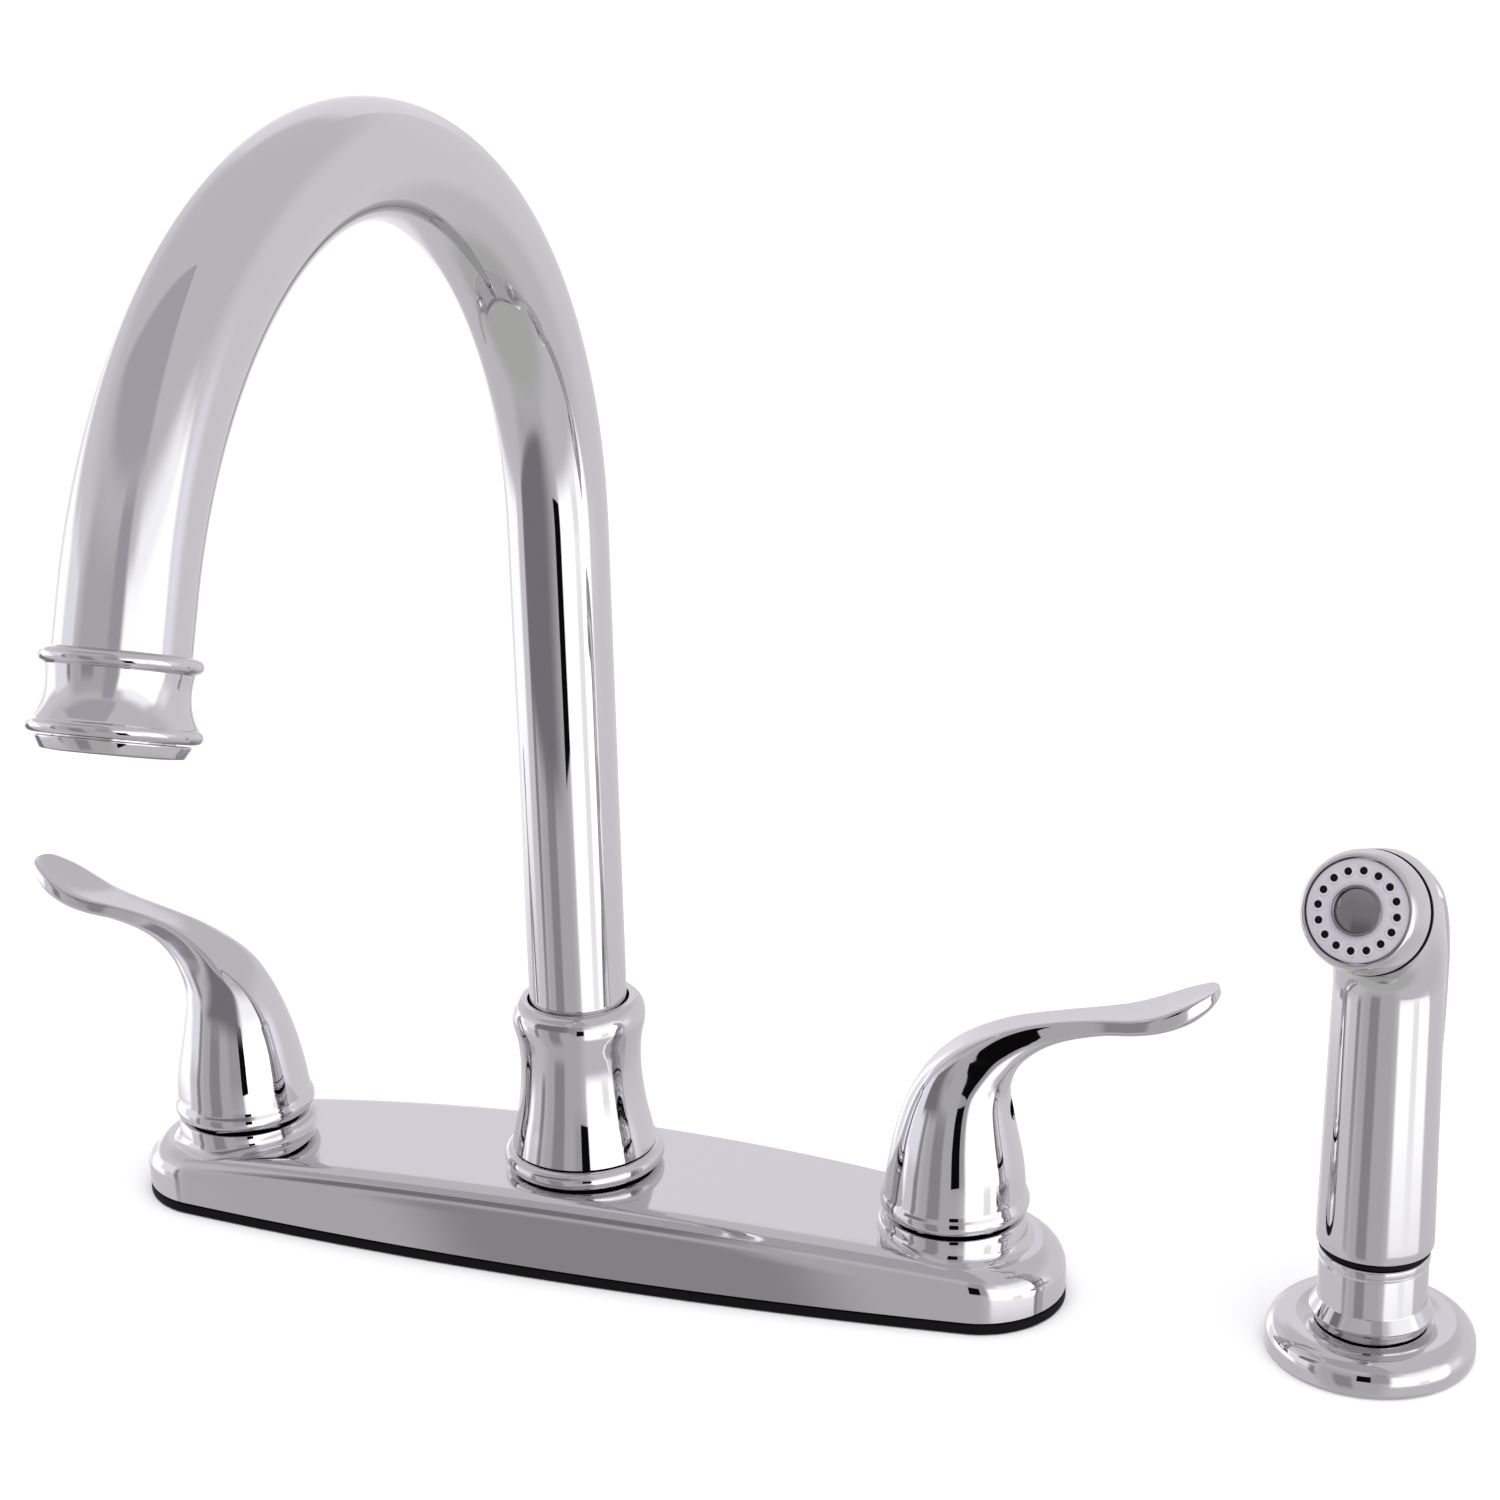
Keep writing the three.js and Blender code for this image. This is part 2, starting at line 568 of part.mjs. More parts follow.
function leverHandle() {
  const curve = (pick) => new THREE.CatmullRomCurve3(LEVER_STATIONS.map(pick), false, 'centripetal');
  const backs = LEVER_STATIONS.map(([back]) => new THREE.Vector2(...back));
  const bellies = LEVER_STATIONS.map(([, belly]) => new THREE.Vector2(...belly));
  const backCurve = new THREE.SplineCurve(backs);
  const bellyCurve = new THREE.SplineCurve(bellies);
  const shapeCurve = curve(([, , halfWidth, flatness], i) => new THREE.Vector3(i, halfWidth, flatness));
  const rings = skirtRings.map(([radius, height]) => leverRing(
    new THREE.Vector2(-radius, height), new THREE.Vector2(radius, height), radius, 0));
  for (let i = 0; i <= LEVER_RINGS; i += 1) {
    const t = i / LEVER_RINGS;
    const shape = shapeCurve.getPoint(t);
    const flatness = THREE.MathUtils.clamp(shape.z, 0, 1);
    rings.push(leverRing(backCurve.getPoint(t), bellyCurve.getPoint(t), shape.y, flatness));
  }
  const stemHole = rod(STEM_RADIUS + SEAT, HANDLE_BOTTOM, STEM_TOP + SEAT, SMALL);
  const cavity = rod(HANDLE_CAVITY, HANDLE_BOTTOM - 1, HANDLE_CAVITY_TOP, RING_POINTS);
  const screwHole = crossRod(SET_SCREW_RADIUS + SEAT, 0, 2 * HANDLE_NECK_RADIUS, SET_SCREW_HEIGHT, SMALL);
  return cut(lofted(rings), cavity, stemHole, screwHole);
}

function setScrew() {
  const start = STEM_RADIUS + SEAT;
  const end = start + SET_SCREW_LENGTH;
  const body = crossRod(SET_SCREW_RADIUS, start, end, SET_SCREW_HEIGHT, SMALL);
  const key = crossRod(SET_SCREW_RADIUS / 2, end - SET_SCREW_SOCKET, end + 1, SET_SCREW_HEIGHT, HEXAGON);
  return cut(body, key);
}

const handleSolid = leverHandle();
const restTurns = { left: 180 - LEFT_REST_TURN, right: RIGHT_REST_TURN };
for (const [side, sign] of Object.entries(sideNames)) {
  const turn = groupAt(sign * HANDLE_X, 0, 0);
  turn.rotation.z = radians(restTurns[side]);
  place(`handle_${side}`, handleSolid, CHROME, turn);
  place(`handle_screw_${side}`, setScrew(), BRASS, turn);
  place(`valve_stem_${side}`, stem, BRASS, turn);
}

// ---------------------------------------------------------------- waterway and spout seat
const RING_FOOT = PLATE_TOP + SEAT;
const RING_TOP = RING_FOOT + RING_HEIGHT;
const BASE_FOOT = RING_TOP + SEAT;

function waterway() {
  const reach = HANDLE_X - VALVE_RADIUS - SEAT;
  const pipe = crossRod(PIPE_RADIUS, -reach, reach, PIPE_HEIGHT, SMALL);
  const groove = O_RING_THICKNESS / 2 + SEAT;
  const grooves = O_RING_HEIGHTS.flatMap((z) => [
    [POST_RADIUS, z - groove], [POST_RADIUS - GROOVE_DEPTH, z - groove],
    [POST_RADIUS - GROOVE_DEPTH, z + groove], [POST_RADIUS, z + groove]]);
  const post = turned([[0, PIPE_HEIGHT - PIPE_RADIUS], [POST_FOOT_RADIUS, PIPE_HEIGHT - PIPE_RADIUS],
    [POST_FOOT_RADIUS, POST_SHOULDER], [POST_RADIUS, POST_SHOULDER], ...grooves,
    [POST_RADIUS, POST_TOP], [0, POST_TOP]], PLAIN);
  const pipeBore = crossRod(PIPE_BORE, -reach - 1, reach + 1, PIPE_HEIGHT, TINY);
  const postBore = rod(POST_BORE, PIPE_HEIGHT, POST_TOP + 1, SMALL);
  const drain = rod(NIPPLE_BORE, 0, PIPE_HEIGHT + 1, TINY);
  return cut(join(pipe, post), pipeBore, postBore, drain);
}

const oRing = (z) => {
  const half = O_RING_THICKNESS / 2;
  const inner = POST_RADIUS - GROOVE_DEPTH + SEAT;
  const outer = POST_RADIUS + SEAT;
  return turned([[inner, z - half], [POST_RADIUS, z - half], [outer, z], [POST_RADIUS, z + half],
    [inner, z + half]], PLAIN);
};

function diverter() {
  const foot = POST_SHOULDER + DIVERTER_RISE;
  const top = foot + DIVERTER_HEIGHT;
  const [slim, wide] = [DIVERTER_WAIST, POST_BORE - SEAT];
  const [low, high] = [foot + DIVERTER_DISC, top - DIVERTER_DISC];
  const slope = wide - slim;
  return turned([[0, foot], [wide, foot], [wide, low], [slim, low + slope], [slim, high - slope],
    [wide, high], [wide, top], [0, top]], SMALL);
}

const nippleTop = PIPE_HEIGHT - PIPE_RADIUS - SEAT;
const sprayNipple = sleeve(NIPPLE_BORE, NIPPLE_RADIUS, -NIPPLE_LENGTH, nippleTop, SMALL);

function baseRing() {
  const middle = RING_FOOT + RING_HEIGHT / 2;
  const arc = [];
  const [reach, steps] = [75, 5]; // degrees each way round the swell
  for (let i = 0; i <= steps; i += 1) {
    const angle = radians(reach * ((2 * i) / steps - 1));
    const swell = RING_HEIGHT / 2 / Math.sin(radians(reach));
    arc.push([RING_RADIUS - swell + swell * Math.cos(angle), middle + swell * Math.sin(angle)]);
  }
  return turned([[POST_FOOT_RADIUS + SEAT, RING_FOOT], ...arc, [POST_FOOT_RADIUS + SEAT, RING_TOP]], FINE);
}

// the flared body round the spout's foot: a rolled rim over a long hollow flare
const BASE_OUTLINE = [
  [0.01, BASE_FOOT_RADIUS], [0.11, BASE_FOOT_RADIUS - 1.2], [0.26, BASE_FOOT_RADIUS - 2.5],
  [0.43, BASE_WAIST_RADIUS + 0.25], [0.58, BASE_WAIST_RADIUS], [0.7, BASE_WAIST_RADIUS + 0.35],
  [0.79, BASE_RIM_RADIUS - 0.45], [0.87, BASE_RIM_RADIUS], [0.94, BASE_RIM_RADIUS - 0.65],
  [0.985, BASE_RIM_RADIUS - 2.4],
];
const BASE_INSIDE = BASE_WAIST_RADIUS - BASE_WALL;
const LIP_INSIDE = TUBE_RADIUS + RUN;

function spoutBase() {
  const height = BASE_TOP - BASE_FOOT;
  const outline = BASE_OUTLINE.map(([share, radius]) => [radius, BASE_FOOT + share * height]);
  return turned([[BASE_INSIDE, BASE_FOOT], [BASE_FOOT_RADIUS - 0.5, BASE_FOOT], ...outline,
    [LIP_INSIDE + 0.3, BASE_TOP], [LIP_INSIDE, BASE_TOP - 0.4], [LIP_INSIDE, BASE_TOP - LIP_DEPTH],
    [BASE_INSIDE, BASE_TOP - LIP_DEPTH]], FINE);
}

const bushTop = BASE_TOP - LIP_DEPTH - SEAT;
const spoutBush = sleeve(TUBE_RADIUS + RUN, BASE_INSIDE - SEAT, bushTop - BUSH_HEIGHT, bushTop, PLAIN);

place('waterway', waterway(), BRASS);
place('spray_outlet_nipple', sprayNipple, BRASS);
place('diverter', diverter(), NYLON);
place('spout_base_ring', baseRing(), CHROME);
place('spout_base', spoutBase(), CHROME);
place('spout_bush', spoutBush, NYLON);

// ---------------------------------------------------------------- gooseneck spout
const TUBE_FOOT = POST_SHOULDER + SEAT;

// straight up, round the arc towards the front and straight on into the tip collar
class Gooseneck extends THREE.Curve {
  constructor(foot, endLength, arcSteps) {
    super();
    Object.assign(this, { foot, endLength, arcSteps });
  }

  // one step up the leg, arcSteps round the arc and one down the straight end
  get steps() {
    return this.arcSteps + 2;
  }

  angleAt(t) {
    const share = (t * this.steps - 1) / this.arcSteps;
    return radians(SPOUT_SWEEP) * Math.min(1, Math.max(0, share));
  }

  getPoint(t) {
    const step = t * this.steps;
    const height = this.foot + Math.min(1, step) * (SPOUT_SPRING - this.foot);
    const onward = Math.max(0, step - this.steps + 1) * this.endLength;
    const angle = this.angleAt(t);
    return new THREE.Vector3(0,
      -SPOUT_ARC_RADIUS * (1 - Math.cos(angle)) - onward * Math.sin(angle),
      height + SPOUT_ARC_RADIUS * Math.sin(angle) + onward * Math.cos(angle));
  }

  getTangent(t) {
    const angle = this.angleAt(t);
    return new THREE.Vector3(0, -Math.sin(angle), Math.cos(angle));
  }

  getPointAt(u) {
    return this.getPoint(u);
  }

  getTangentAt(u) {
    return this.getTangent(u);
  }
}

function pipeAlong(curve, radius, sides) {
  const circle = new THREE.Shape();
  for (let i = 0; i < sides; i += 1) {
    const angle = (2 * Math.PI * i) / sides;
    const [x, y] = [radius * Math.cos(angle), radius * Math.sin(angle)];
    if (i === 0) circle.moveTo(x, y);
    else circle.lineTo(x, y);
  }
  return solid(new THREE.ExtrudeGeometry(circle, { steps: curve.steps, extrudePath: curve }));
}

const TUBE_END = SPOUT_END_STRAIGHT + COLLAR_SOCKET;
const TUBE_BORE = TUBE_RADIUS - TUBE_WALL;

function spoutTube() {
  const outside = pipeAlong(new Gooseneck(TUBE_FOOT, TUBE_END, 20), TUBE_RADIUS, 18);
  const bore = pipeAlong(new Gooseneck(TUBE_FOOT - 1, TUBE_END + 1, 12), TUBE_BORE, SMALL);
  return cut(outside, bore);
}

// puts an object at a distance past the arc's end, its +Z pointing out of the spout
function atSpoutEnd(object, onward) {
  const sweep = radians(SPOUT_SWEEP);
  object.position.set(0,
    -SPOUT_ARC_RADIUS * (1 - Math.cos(sweep)) - onward * Math.sin(sweep),
    SPOUT_SPRING + SPOUT_ARC_RADIUS * Math.sin(sweep) + onward * Math.cos(sweep));
  object.rotation.x = sweep;
}

const hubRadius = TUBE_BORE - SEAT - HUB_SLACK;
const spoutHub = sleeve(POST_RADIUS + 2 * SEAT, hubRadius, TUBE_FOOT + HUB_RISE, HUB_TOP, PLAIN);

place('spout_tube', spoutTube(), CHROME);
place('spout_hub', spoutHub, BRASS);
O_RING_HEIGHTS.forEach((z, i) => place(`spout_o_ring_${i + 1}`, oRing(z), RUBBER));

// everything at the tip, measured along the spout from the collar's upper end
const tip = groupAt(0, 0, 0);
atSpoutEnd(tip, SPOUT_END_STRAIGHT);

function tipCollar() {
  const bead = (middle, radius, half) => [-60, -20, 20, 60].map((degrees) => {
    const angle = radians(degrees);
    return [radius - half + half * Math.cos(angle), middle + half * Math.sin(angle)];
  });
  const inside = TUBE_RADIUS + SEAT;
  const L = COLLAR_LENGTH;
  return turned([[inside, 0], [COLLAR_NECK_RADIUS + 0.2, 0], ...bead(1.5, COLLAR_TOP_BEAD, 1.4),
    [COLLAR_NECK_RADIUS, 3.1], [COLLAR_NECK_RADIUS - 0.2, 6.6], [COLLAR_NECK_RADIUS + 0.1, 9.6],
    [COLLAR_NECK_RADIUS + 0.85, 12.2], [COLLAR_LOW_BEAD - 0.8, L - 2.8],
    ...bead(L - 1.35, COLLAR_LOW_BEAD, 1.3), [AERATOR_RADIUS, L], [TUBE_BORE, L],
    [TUBE_BORE, COLLAR_SOCKET + SEAT], [inside, COLLAR_SOCKET + SEAT]], FINE);
}

function aeratorHousing() {
  const top = COLLAR_LENGTH + SEAT;
  const foot = top + AERATOR_HEIGHT;
  const neck = TUBE_BORE - SEAT;
  return turned([[AERATOR_BORE, top - AERATOR_SOCKET], [neck, top - AERATOR_SOCKET], [neck, top],
    [AERATOR_RADIUS, top], [AERATOR_MOUTH, foot - 0.5], [AERATOR_MOUTH - 0.4, foot],
    [AERATOR_BORE, foot]], FINE);
}

function aeratorInsert() {
  const top = COLLAR_LENGTH - INSERT_DEPTH;
  const foot = COLLAR_LENGTH + AERATOR_HEIGHT - INSERT_RECESS;
  const disc = rod(AERATOR_BORE - SEAT, top, foot, PLAIN);
  const holes = [];
  for (let i = 0; i < INSERT_HOLES; i += 1) {
    const angle = (2 * Math.PI * i) / INSERT_HOLES;
    const hole = rod(INSERT_HOLE_RADIUS, top - 1, foot + 1, HEXAGON);
    holes.push(hole.translate([INSERT_CIRCLE * Math.cos(angle), INSERT_CIRCLE * Math.sin(angle), 0]));
  }
  return cut(disc, ...holes);
}

const washerFoot = COLLAR_LENGTH - AERATOR_SOCKET;
const aeratorWasher = sleeve(AERATOR_BORE - WASHER_LIP, TUBE_BORE - SEAT,
  washerFoot - WASHER_THICKNESS, washerFoot, PLAIN);

place('tip_collar', tipCollar(), CHROME, tip);
place('aerator_housing', aeratorHousing(), CHROME, tip);
place('aerator_insert', aeratorInsert(), NYLON, tip);
place('aerator_washer', aeratorWasher, RUBBER, tip);

// ---------------------------------------------------------------- side spray holder
const spray = groupAt(SPRAY_X, SPRAY_Y, 0);
spray.rotation.z = radians(SPRAY_TURN);

function sprayFlange() {
  const inside = HOLDER_SHANK_RADIUS + SEAT;
  const seat = FLANGE_HEIGHT - FLANGE_DIP;
  const dome = [];
  const steps = 5;
  for (let i = 0; i <= steps; i += 1) {
    const angle = radians((90 * i) / steps);
    dome.push([FLANGE_RADIUS - FLANGE_ROUND * (1 - Math.cos(angle)),
      FLANGE_HEIGHT - FLANGE_ROUND * (1 - Math.sin(angle))]);
  }
  return turned([[FLANGE_RADIUS - FLANGE_FOOT, 0], [FLANGE_RADIUS - FLANGE_EDGE, 0],
    [FLANGE_RADIUS, FLANGE_EDGE], ...dome, [HOLDER_RING_RADIUS, seat], [inside, seat],
    [inside, seat - FLANGE_WALL], [FLANGE_RADIUS - FLANGE_ROUND, seat - FLANGE_WALL],
    [FLANGE_RADIUS - FLANGE_FOOT, FLANGE_GASKET + SEAT]], FINE);
}

const flangeGasket = sleeve(HOLDER_SHANK_RADIUS + SEAT, FLANGE_RADIUS - FLANGE_FOOT - SEAT,
  0, FLANGE_GASKET, FINE);

function sprayHolder() {
  const ringFoot = FLANGE_HEIGHT - FLANGE_DIP + SEAT;
  const ringTop = ringFoot + HOLDER_RING_HEIGHT;
  return turned([[HOLDER_BORE, -HOLDER_SHANK_LENGTH], [HOLDER_SHANK_RADIUS, -HOLDER_SHANK_LENGTH],
    [HOLDER_SHANK_RADIUS, ringFoot], [HOLDER_RADIUS + 0.6, ringFoot],
    [HOLDER_RING_RADIUS, ringTop - HOLDER_BEVEL - 0.4], [HOLDER_RING_RADIUS, ringTop - HOLDER_BEVEL],
    [HOLDER_RADIUS, ringTop],
    [HOLDER_RADIUS, HOLDER_TOP - 2.8], [HOLDER_RADIUS - 0.4, HOLDER_TOP - 2.4],
    [HOLDER_RADIUS + 0.2, HOLDER_TOP - 2], [HOLDER_RADIUS + 0.2, HOLDER_TOP - 0.4],
    [HOLDER_RADIUS - 0.3, HOLDER_TOP], [HOLDER_BORE, HOLDER_TOP]], FINE);
}

const holderWasher = sleeve(HOLDER_SHANK_RADIUS + RUN, HOLDER_WASHER_RADIUS, washerTop - WASHER_THICKNESS,
  washerTop, PLAIN);
const holderNut = cut(
  hexRod(HOLDER_NUT_HEX, nutTop - NUT_HEIGHT, nutTop),
  rod(HOLDER_SHANK_RADIUS + SEAT, nutTop - NUT_HEIGHT - 1, nutTop + 1, FINE),
);

place('spray_flange', sprayFlange(), CHROME, spray);
place('spray_flange_gasket', flangeGasket, RUBBER, spray);
place('spray_holder', sprayHolder(), CHROME, spray);
place('spray_holder_washer', holderWasher, STEEL, spray);
place('spray_holder_nut', holderNut, BRASS, spray);

// ---------------------------------------------------------------- spray wand
const SEAT_RING_FOOT = HOLDER_TOP + SEAT;
const WAND_FOOT = SEAT_RING_FOOT + SEAT_RING_HEIGHT + SEAT;
const TAIL_RADIUS = HOLDER_BORE - RUN;
const TAIL_FOOT = WAND_FOOT - WAND_TAIL_LENGTH;
const ELBOW_SWEEP = 90 - NOZZLE_TILT;
const elbowReach = ELBOW_RADIUS * Math.tan(radians(ELBOW_SWEEP / 2));
const NOZZLE_Z = ELBOW_HEIGHT + elbowReach; // where the nozzle's axis crosses the wand's
const HEAD_END = elbowReach + HEAD_STRAIGHT; // from that crossing to the head's flat end

// a point of the wand: a distance out from its spine, at an angle round it, where 0 is the back
function onSpine(bend, height, radius, angle) {
  const lean = radians(bend);
  const back = new THREE.Vector3(0, Math.cos(lean), Math.sin(lean));
  const centre = new THREE.Vector3(0, -ELBOW_RADIUS * (1 - Math.cos(lean)),
    height + ELBOW_RADIUS * Math.sin(lean));
  const aside = new THREE.Vector3(radius * Math.sin(angle), 0, 0);
  return centre.addScaledVector(back, radius * Math.cos(angle)).add(aside);
}

const wandRadiusAt = (height) => THREE.MathUtils.mapLinear(height, WAND_FOOT, ELBOW_HEIGHT,
  WAND_FOOT_RADIUS, WAND_WAIST_RADIUS);

const headRadiusAt = (bend) => THREE.MathUtils.mapLinear(bend, 0, ELBOW_SWEEP,
  WAND_WAIST_RADIUS, WAND_HEAD_RADIUS);

// the head's corner at the back, which fades out towards its sides and its flat end
const heelAt = (bend) => HEEL_RISE
  * Math.sin(Math.PI * THREE.MathUtils.clamp((bend - HEEL_START) / (ELBOW_SWEEP - HEEL_START), 0, 1));

function wandRing(bend, height, radius, sides) {
  return Array.from({ length: sides }, (_, i) => {
    const angle = (2 * Math.PI * i) / sides;
    return onSpine(bend, height, radius + heelAt(bend) * Math.max(0, Math.cos(angle)) ** 2, angle);
  });
}

const nozzleFrame = groupAt(0, 0, NOZZLE_Z, spray);
nozzleFrame.rotation.x = radians(ELBOW_SWEEP);
nozzleFrame.updateMatrix();

// moves a body made beside the spine (its Y is the way out from it) round the elbow to the pin's place
const atPin = (body) => body.translate([0, ELBOW_RADIUS, 0]).rotate([PIN_ELBOW, 0, 0])
  .translate([0, -ELBOW_RADIUS, ELBOW_HEIGHT]);
const PIN_OUT = headRadiusAt(PIN_ELBOW) - PIN_DEPTH;
const pinRod = (radius, half) => atPin(crossRod(radius, -half, half, 0, TINY).translate([0, PIN_OUT, 0]));

// how far a place on the wand's back is round the elbow and up the wand; 0 is the trigger's foot, 1 its top
const straightPart = ELBOW_HEIGHT - TRIGGER_FOOT;
const roundPart = (ELBOW_RADIUS + WAND_WAIST_RADIUS) * radians(TRIGGER_ELBOW);
const STRAIGHT_SHARE = straightPart / (straightPart + roundPart);

function saddle(from, to, steps, outlineAt) {
  const rings = Array.from({ length: steps + 1 }, (_, i) => {
    const along = from + ((to - from) * i) / steps;
    const bend = TRIGGER_ELBOW * Math.max(0, (along - STRAIGHT_SHARE) / (1 - STRAIGHT_SHARE));
    const height = TRIGGER_FOOT + straightPart * Math.min(1, along / STRAIGHT_SHARE);
    const wand = bend > 0 ? headRadiusAt(bend) : wandRadiusAt(height);
    return outlineAt(along, wand).map(([radius, angle]) => onSpine(bend, height, radius, angle));
  });
  return lofted(rings);
}

// the shallow hollow under the trigger
function triggerPocket() {
  const half = radians(TRIGGER_HALF_WIDTH + POCKET_MARGIN);
  const shares = [-1, -0.6, -0.2, 0.2, 0.6, 1];
  return saddle(-0.02, 1.02, 6, (_, wand) => [
    ...shares.map((share) => [wand + 2 * POCKET_DEPTH, share * half]),
    ...shares.map((share) => [wand - POCKET_DEPTH, -share * half])]);
}

const chamberBack = WAND_WAIST_RADIUS - CHAMBER_DEPTH;
const chamberFront = chamberBack - CHAMBER_LENGTH;

function wandBody() {
  const sides = 20;
  const rings = [wandRing(0, WAND_FOOT, WAND_FOOT_RADIUS - 0.6, sides)];
  for (const height of [WAND_FOOT + 0.8, ELBOW_HEIGHT]) {
    rings.push(wandRing(0, height, wandRadiusAt(height), sides));
  }
  const steps = 6;
  for (let i = 1; i <= steps; i += 1) {
    const bend = (ELBOW_SWEEP * i) / steps;
    rings.push(wandRing(bend, ELBOW_HEIGHT, headRadiusAt(bend), sides));
  }
  const end = new THREE.Vector3(0, -Math.sin(radians(ELBOW_SWEEP)), Math.cos(radians(ELBOW_SWEEP)));
  rings.push(rings[rings.length - 1].map((p) => p.clone().addScaledVector(end, HEAD_STRAIGHT)));
  const tail = rod(TAIL_RADIUS, TAIL_FOOT, WAND_FOOT + 2, FINE);
  const inlet = rod(WAND_BORE, TAIL_FOOT - 1, PLUNGER_HEIGHT, SMALL);
  const inHead = (body) => body.transform(nozzleFrame.matrix.elements);
  const socketEnd = HEAD_END - NOZZLE_SOCKET_DEPTH - 2;
  const outlet = inHead(rod(NOZZLE_SOCKET_RADIUS + SEAT, socketEnd, HEAD_END + 5, FINE));
  const feed = inHead(rod(FEED_RADIUS, 0, HEAD_END, TINY));
  const riser = rod(FEED_RADIUS, PLUNGER_HEIGHT - 1, NOZZLE_Z, TINY);
  const slotDepth = 2 * PIN_DEPTH;
  const slot = atPin(box(TONGUE_WIDTH + 2 * RUN, slotDepth, 2 * PIN_DEPTH, 0, PIN_OUT + 0.1 * slotDepth, 0));
  const pinHole = pinRod(PIN_RADIUS + SEAT, PIN_HALF + SEAT);
  const chamber = depthRod(CHAMBER_RADIUS, chamberFront, chamberBack, PLUNGER_HEIGHT, SMALL);
  const guide = depthRod(PLUNGER_RADIUS + RUN, chamberBack - 1, WAND_FOOT_RADIUS + 5, PLUNGER_HEIGHT, TINY);
  const waterway = [inlet, outlet, feed, riser, chamber, guide];
  return cut(join(lofted(rings), tail), ...waterway, triggerPocket(), slot, pinHole);
}

const seatRing = sleeve(TAIL_RADIUS + SEAT, HOLDER_RADIUS + 0.2, SEAT_RING_FOOT,
  SEAT_RING_FOOT + SEAT_RING_HEIGHT, FINE);

function hoseCoupling() {
  const top = TAIL_FOOT - SEAT;
  const foot = top - COUPLING_LENGTH;
  return cut(
    join(hexRod(COUPLING_HEX, foot + COUPLING_BARB, top),
      rod(COUPLING_HEX / 2 - 1.2, foot, foot + COUPLING_BARB + 1, PLAIN)),
    rod(WAND_BORE - 1, foot - 1, top + 1, SMALL),
  );
}

place('wand_body', wandBody(), CHROME, spray);
place('wand_seat_ring', seatRing, RUBBER, spray);
place('hose_coupling', hoseCoupling(), BRASS, spray);

// ---------------------------------------------------------------- nozzle, along its own axis
const SEAL_BACK = HEAD_END + SEAT;
const NOZZLE_BACK = SEAL_BACK + SEAL_THICKNESS + SEAT;
const NOZZLE_FRONT = NOZZLE_BACK + NOZZLE_LENGTH;
const FACE_FRONT = NOZZLE_FRONT - FACE_RECESS;

const nozzleSeal = sleeve(NOZZLE_SOCKET_RADIUS + SEAT, WAND_HEAD_RADIUS - 0.5, SEAL_BACK,
  SEAL_BACK + SEAL_THICKNESS, FINE);

function nozzleRing() {
  const shell = [];
  const steps = 4;
  for (let i = 0; i <= steps; i += 1) {
    const angle = radians((90 * i) / steps);
    shell.push([NOZZLE_RIM + (NOZZLE_RADIUS - NOZZLE_RIM) * Math.cos(angle),
      NOZZLE_BACK + NOZZLE_LENGTH * (0.12 + 0.88 * Math.sin(angle))]);
  }
  const face = FACE_RADIUS + SEAT;
  const shelf = FACE_FRONT - FACE_THICKNESS - SEAT;
  const [outside, inside] = [NOZZLE_SOCKET_RADIUS, NOZZLE_SOCKET_RADIUS - NOZZLE_SOCKET_WALL];
  const foot = HEAD_END - NOZZLE_SOCKET_DEPTH;
  return turned([[inside, foot], [outside, foot], [outside, NOZZLE_BACK], [NOZZLE_RADIUS - 0.5, NOZZLE_BACK],
    ...shell, [face, NOZZLE_FRONT - 0.4], [face, shelf], [inside, shelf]], FINE);
}

function sprayFace() {
  const disc = rod(FACE_RADIUS, FACE_FRONT - FACE_THICKNESS, FACE_FRONT, FINE);
  const seatHole = rod(BUTTON_RADIUS - BUTTON_STEP, FACE_FRONT - FACE_THICKNESS - 1, FACE_FRONT + 1, PLAIN);
  const jets = Array.from({ length: FACE_HOLES }, (_, i) => {
    const angle = (2 * Math.PI * i) / FACE_HOLES;
    const jet = rod(FACE_HOLE_RADIUS, FACE_FRONT - FACE_THICKNESS - 1, FACE_FRONT + 1, HEXAGON);
    return jet.translate([FACE_HOLE_CIRCLE * Math.sin(angle), FACE_HOLE_CIRCLE * Math.cos(angle), 0]);
  });
  return cut(disc, seatHole, ...jets);
}

const buttonShaft = BUTTON_RADIUS - BUTTON_STEP - SEAT;
const faceButton = turned([[0, FACE_FRONT - FACE_THICKNESS], [buttonShaft, FACE_FRONT - FACE_THICKNESS],
  [buttonShaft, FACE_FRONT + SEAT], [BUTTON_RADIUS, FACE_FRONT + SEAT],
  [BUTTON_RADIUS, FACE_FRONT + 0.9], [BUTTON_RADIUS - 0.5, FACE_FRONT + 1.3],
  [BUTTON_RADIUS - 0.8, FACE_FRONT + 0.9], [0, FACE_FRONT + 1.6]], PLAIN);

place('nozzle_seal', nozzleSeal, RUBBER, nozzleFrame);
place('nozzle_ring', nozzleRing(), CHROME, nozzleFrame);
place('spray_face', sprayFace(), GREY_PLASTIC, nozzleFrame);
place('face_button', faceButton, CHROME, nozzleFrame);

// ---------------------------------------------------------------- trigger and spray valve
// the trigger is a saddle over the wand's back, swelling outwards between its foot and its top
const swell = new THREE.SplineCurve(TRIGGER_SWELL.map((radius, i) => new THREE.Vector2(i, radius)));
const triggerOutsideAt = (along) => swell.getPoint(along).y;
const triggerInsideAt = (along) => triggerOutsideAt(along)
  - TRIGGER_THICKNESS * Math.min(1, 0.4 + along * 4, 0.4 + (1 - along) * 4);

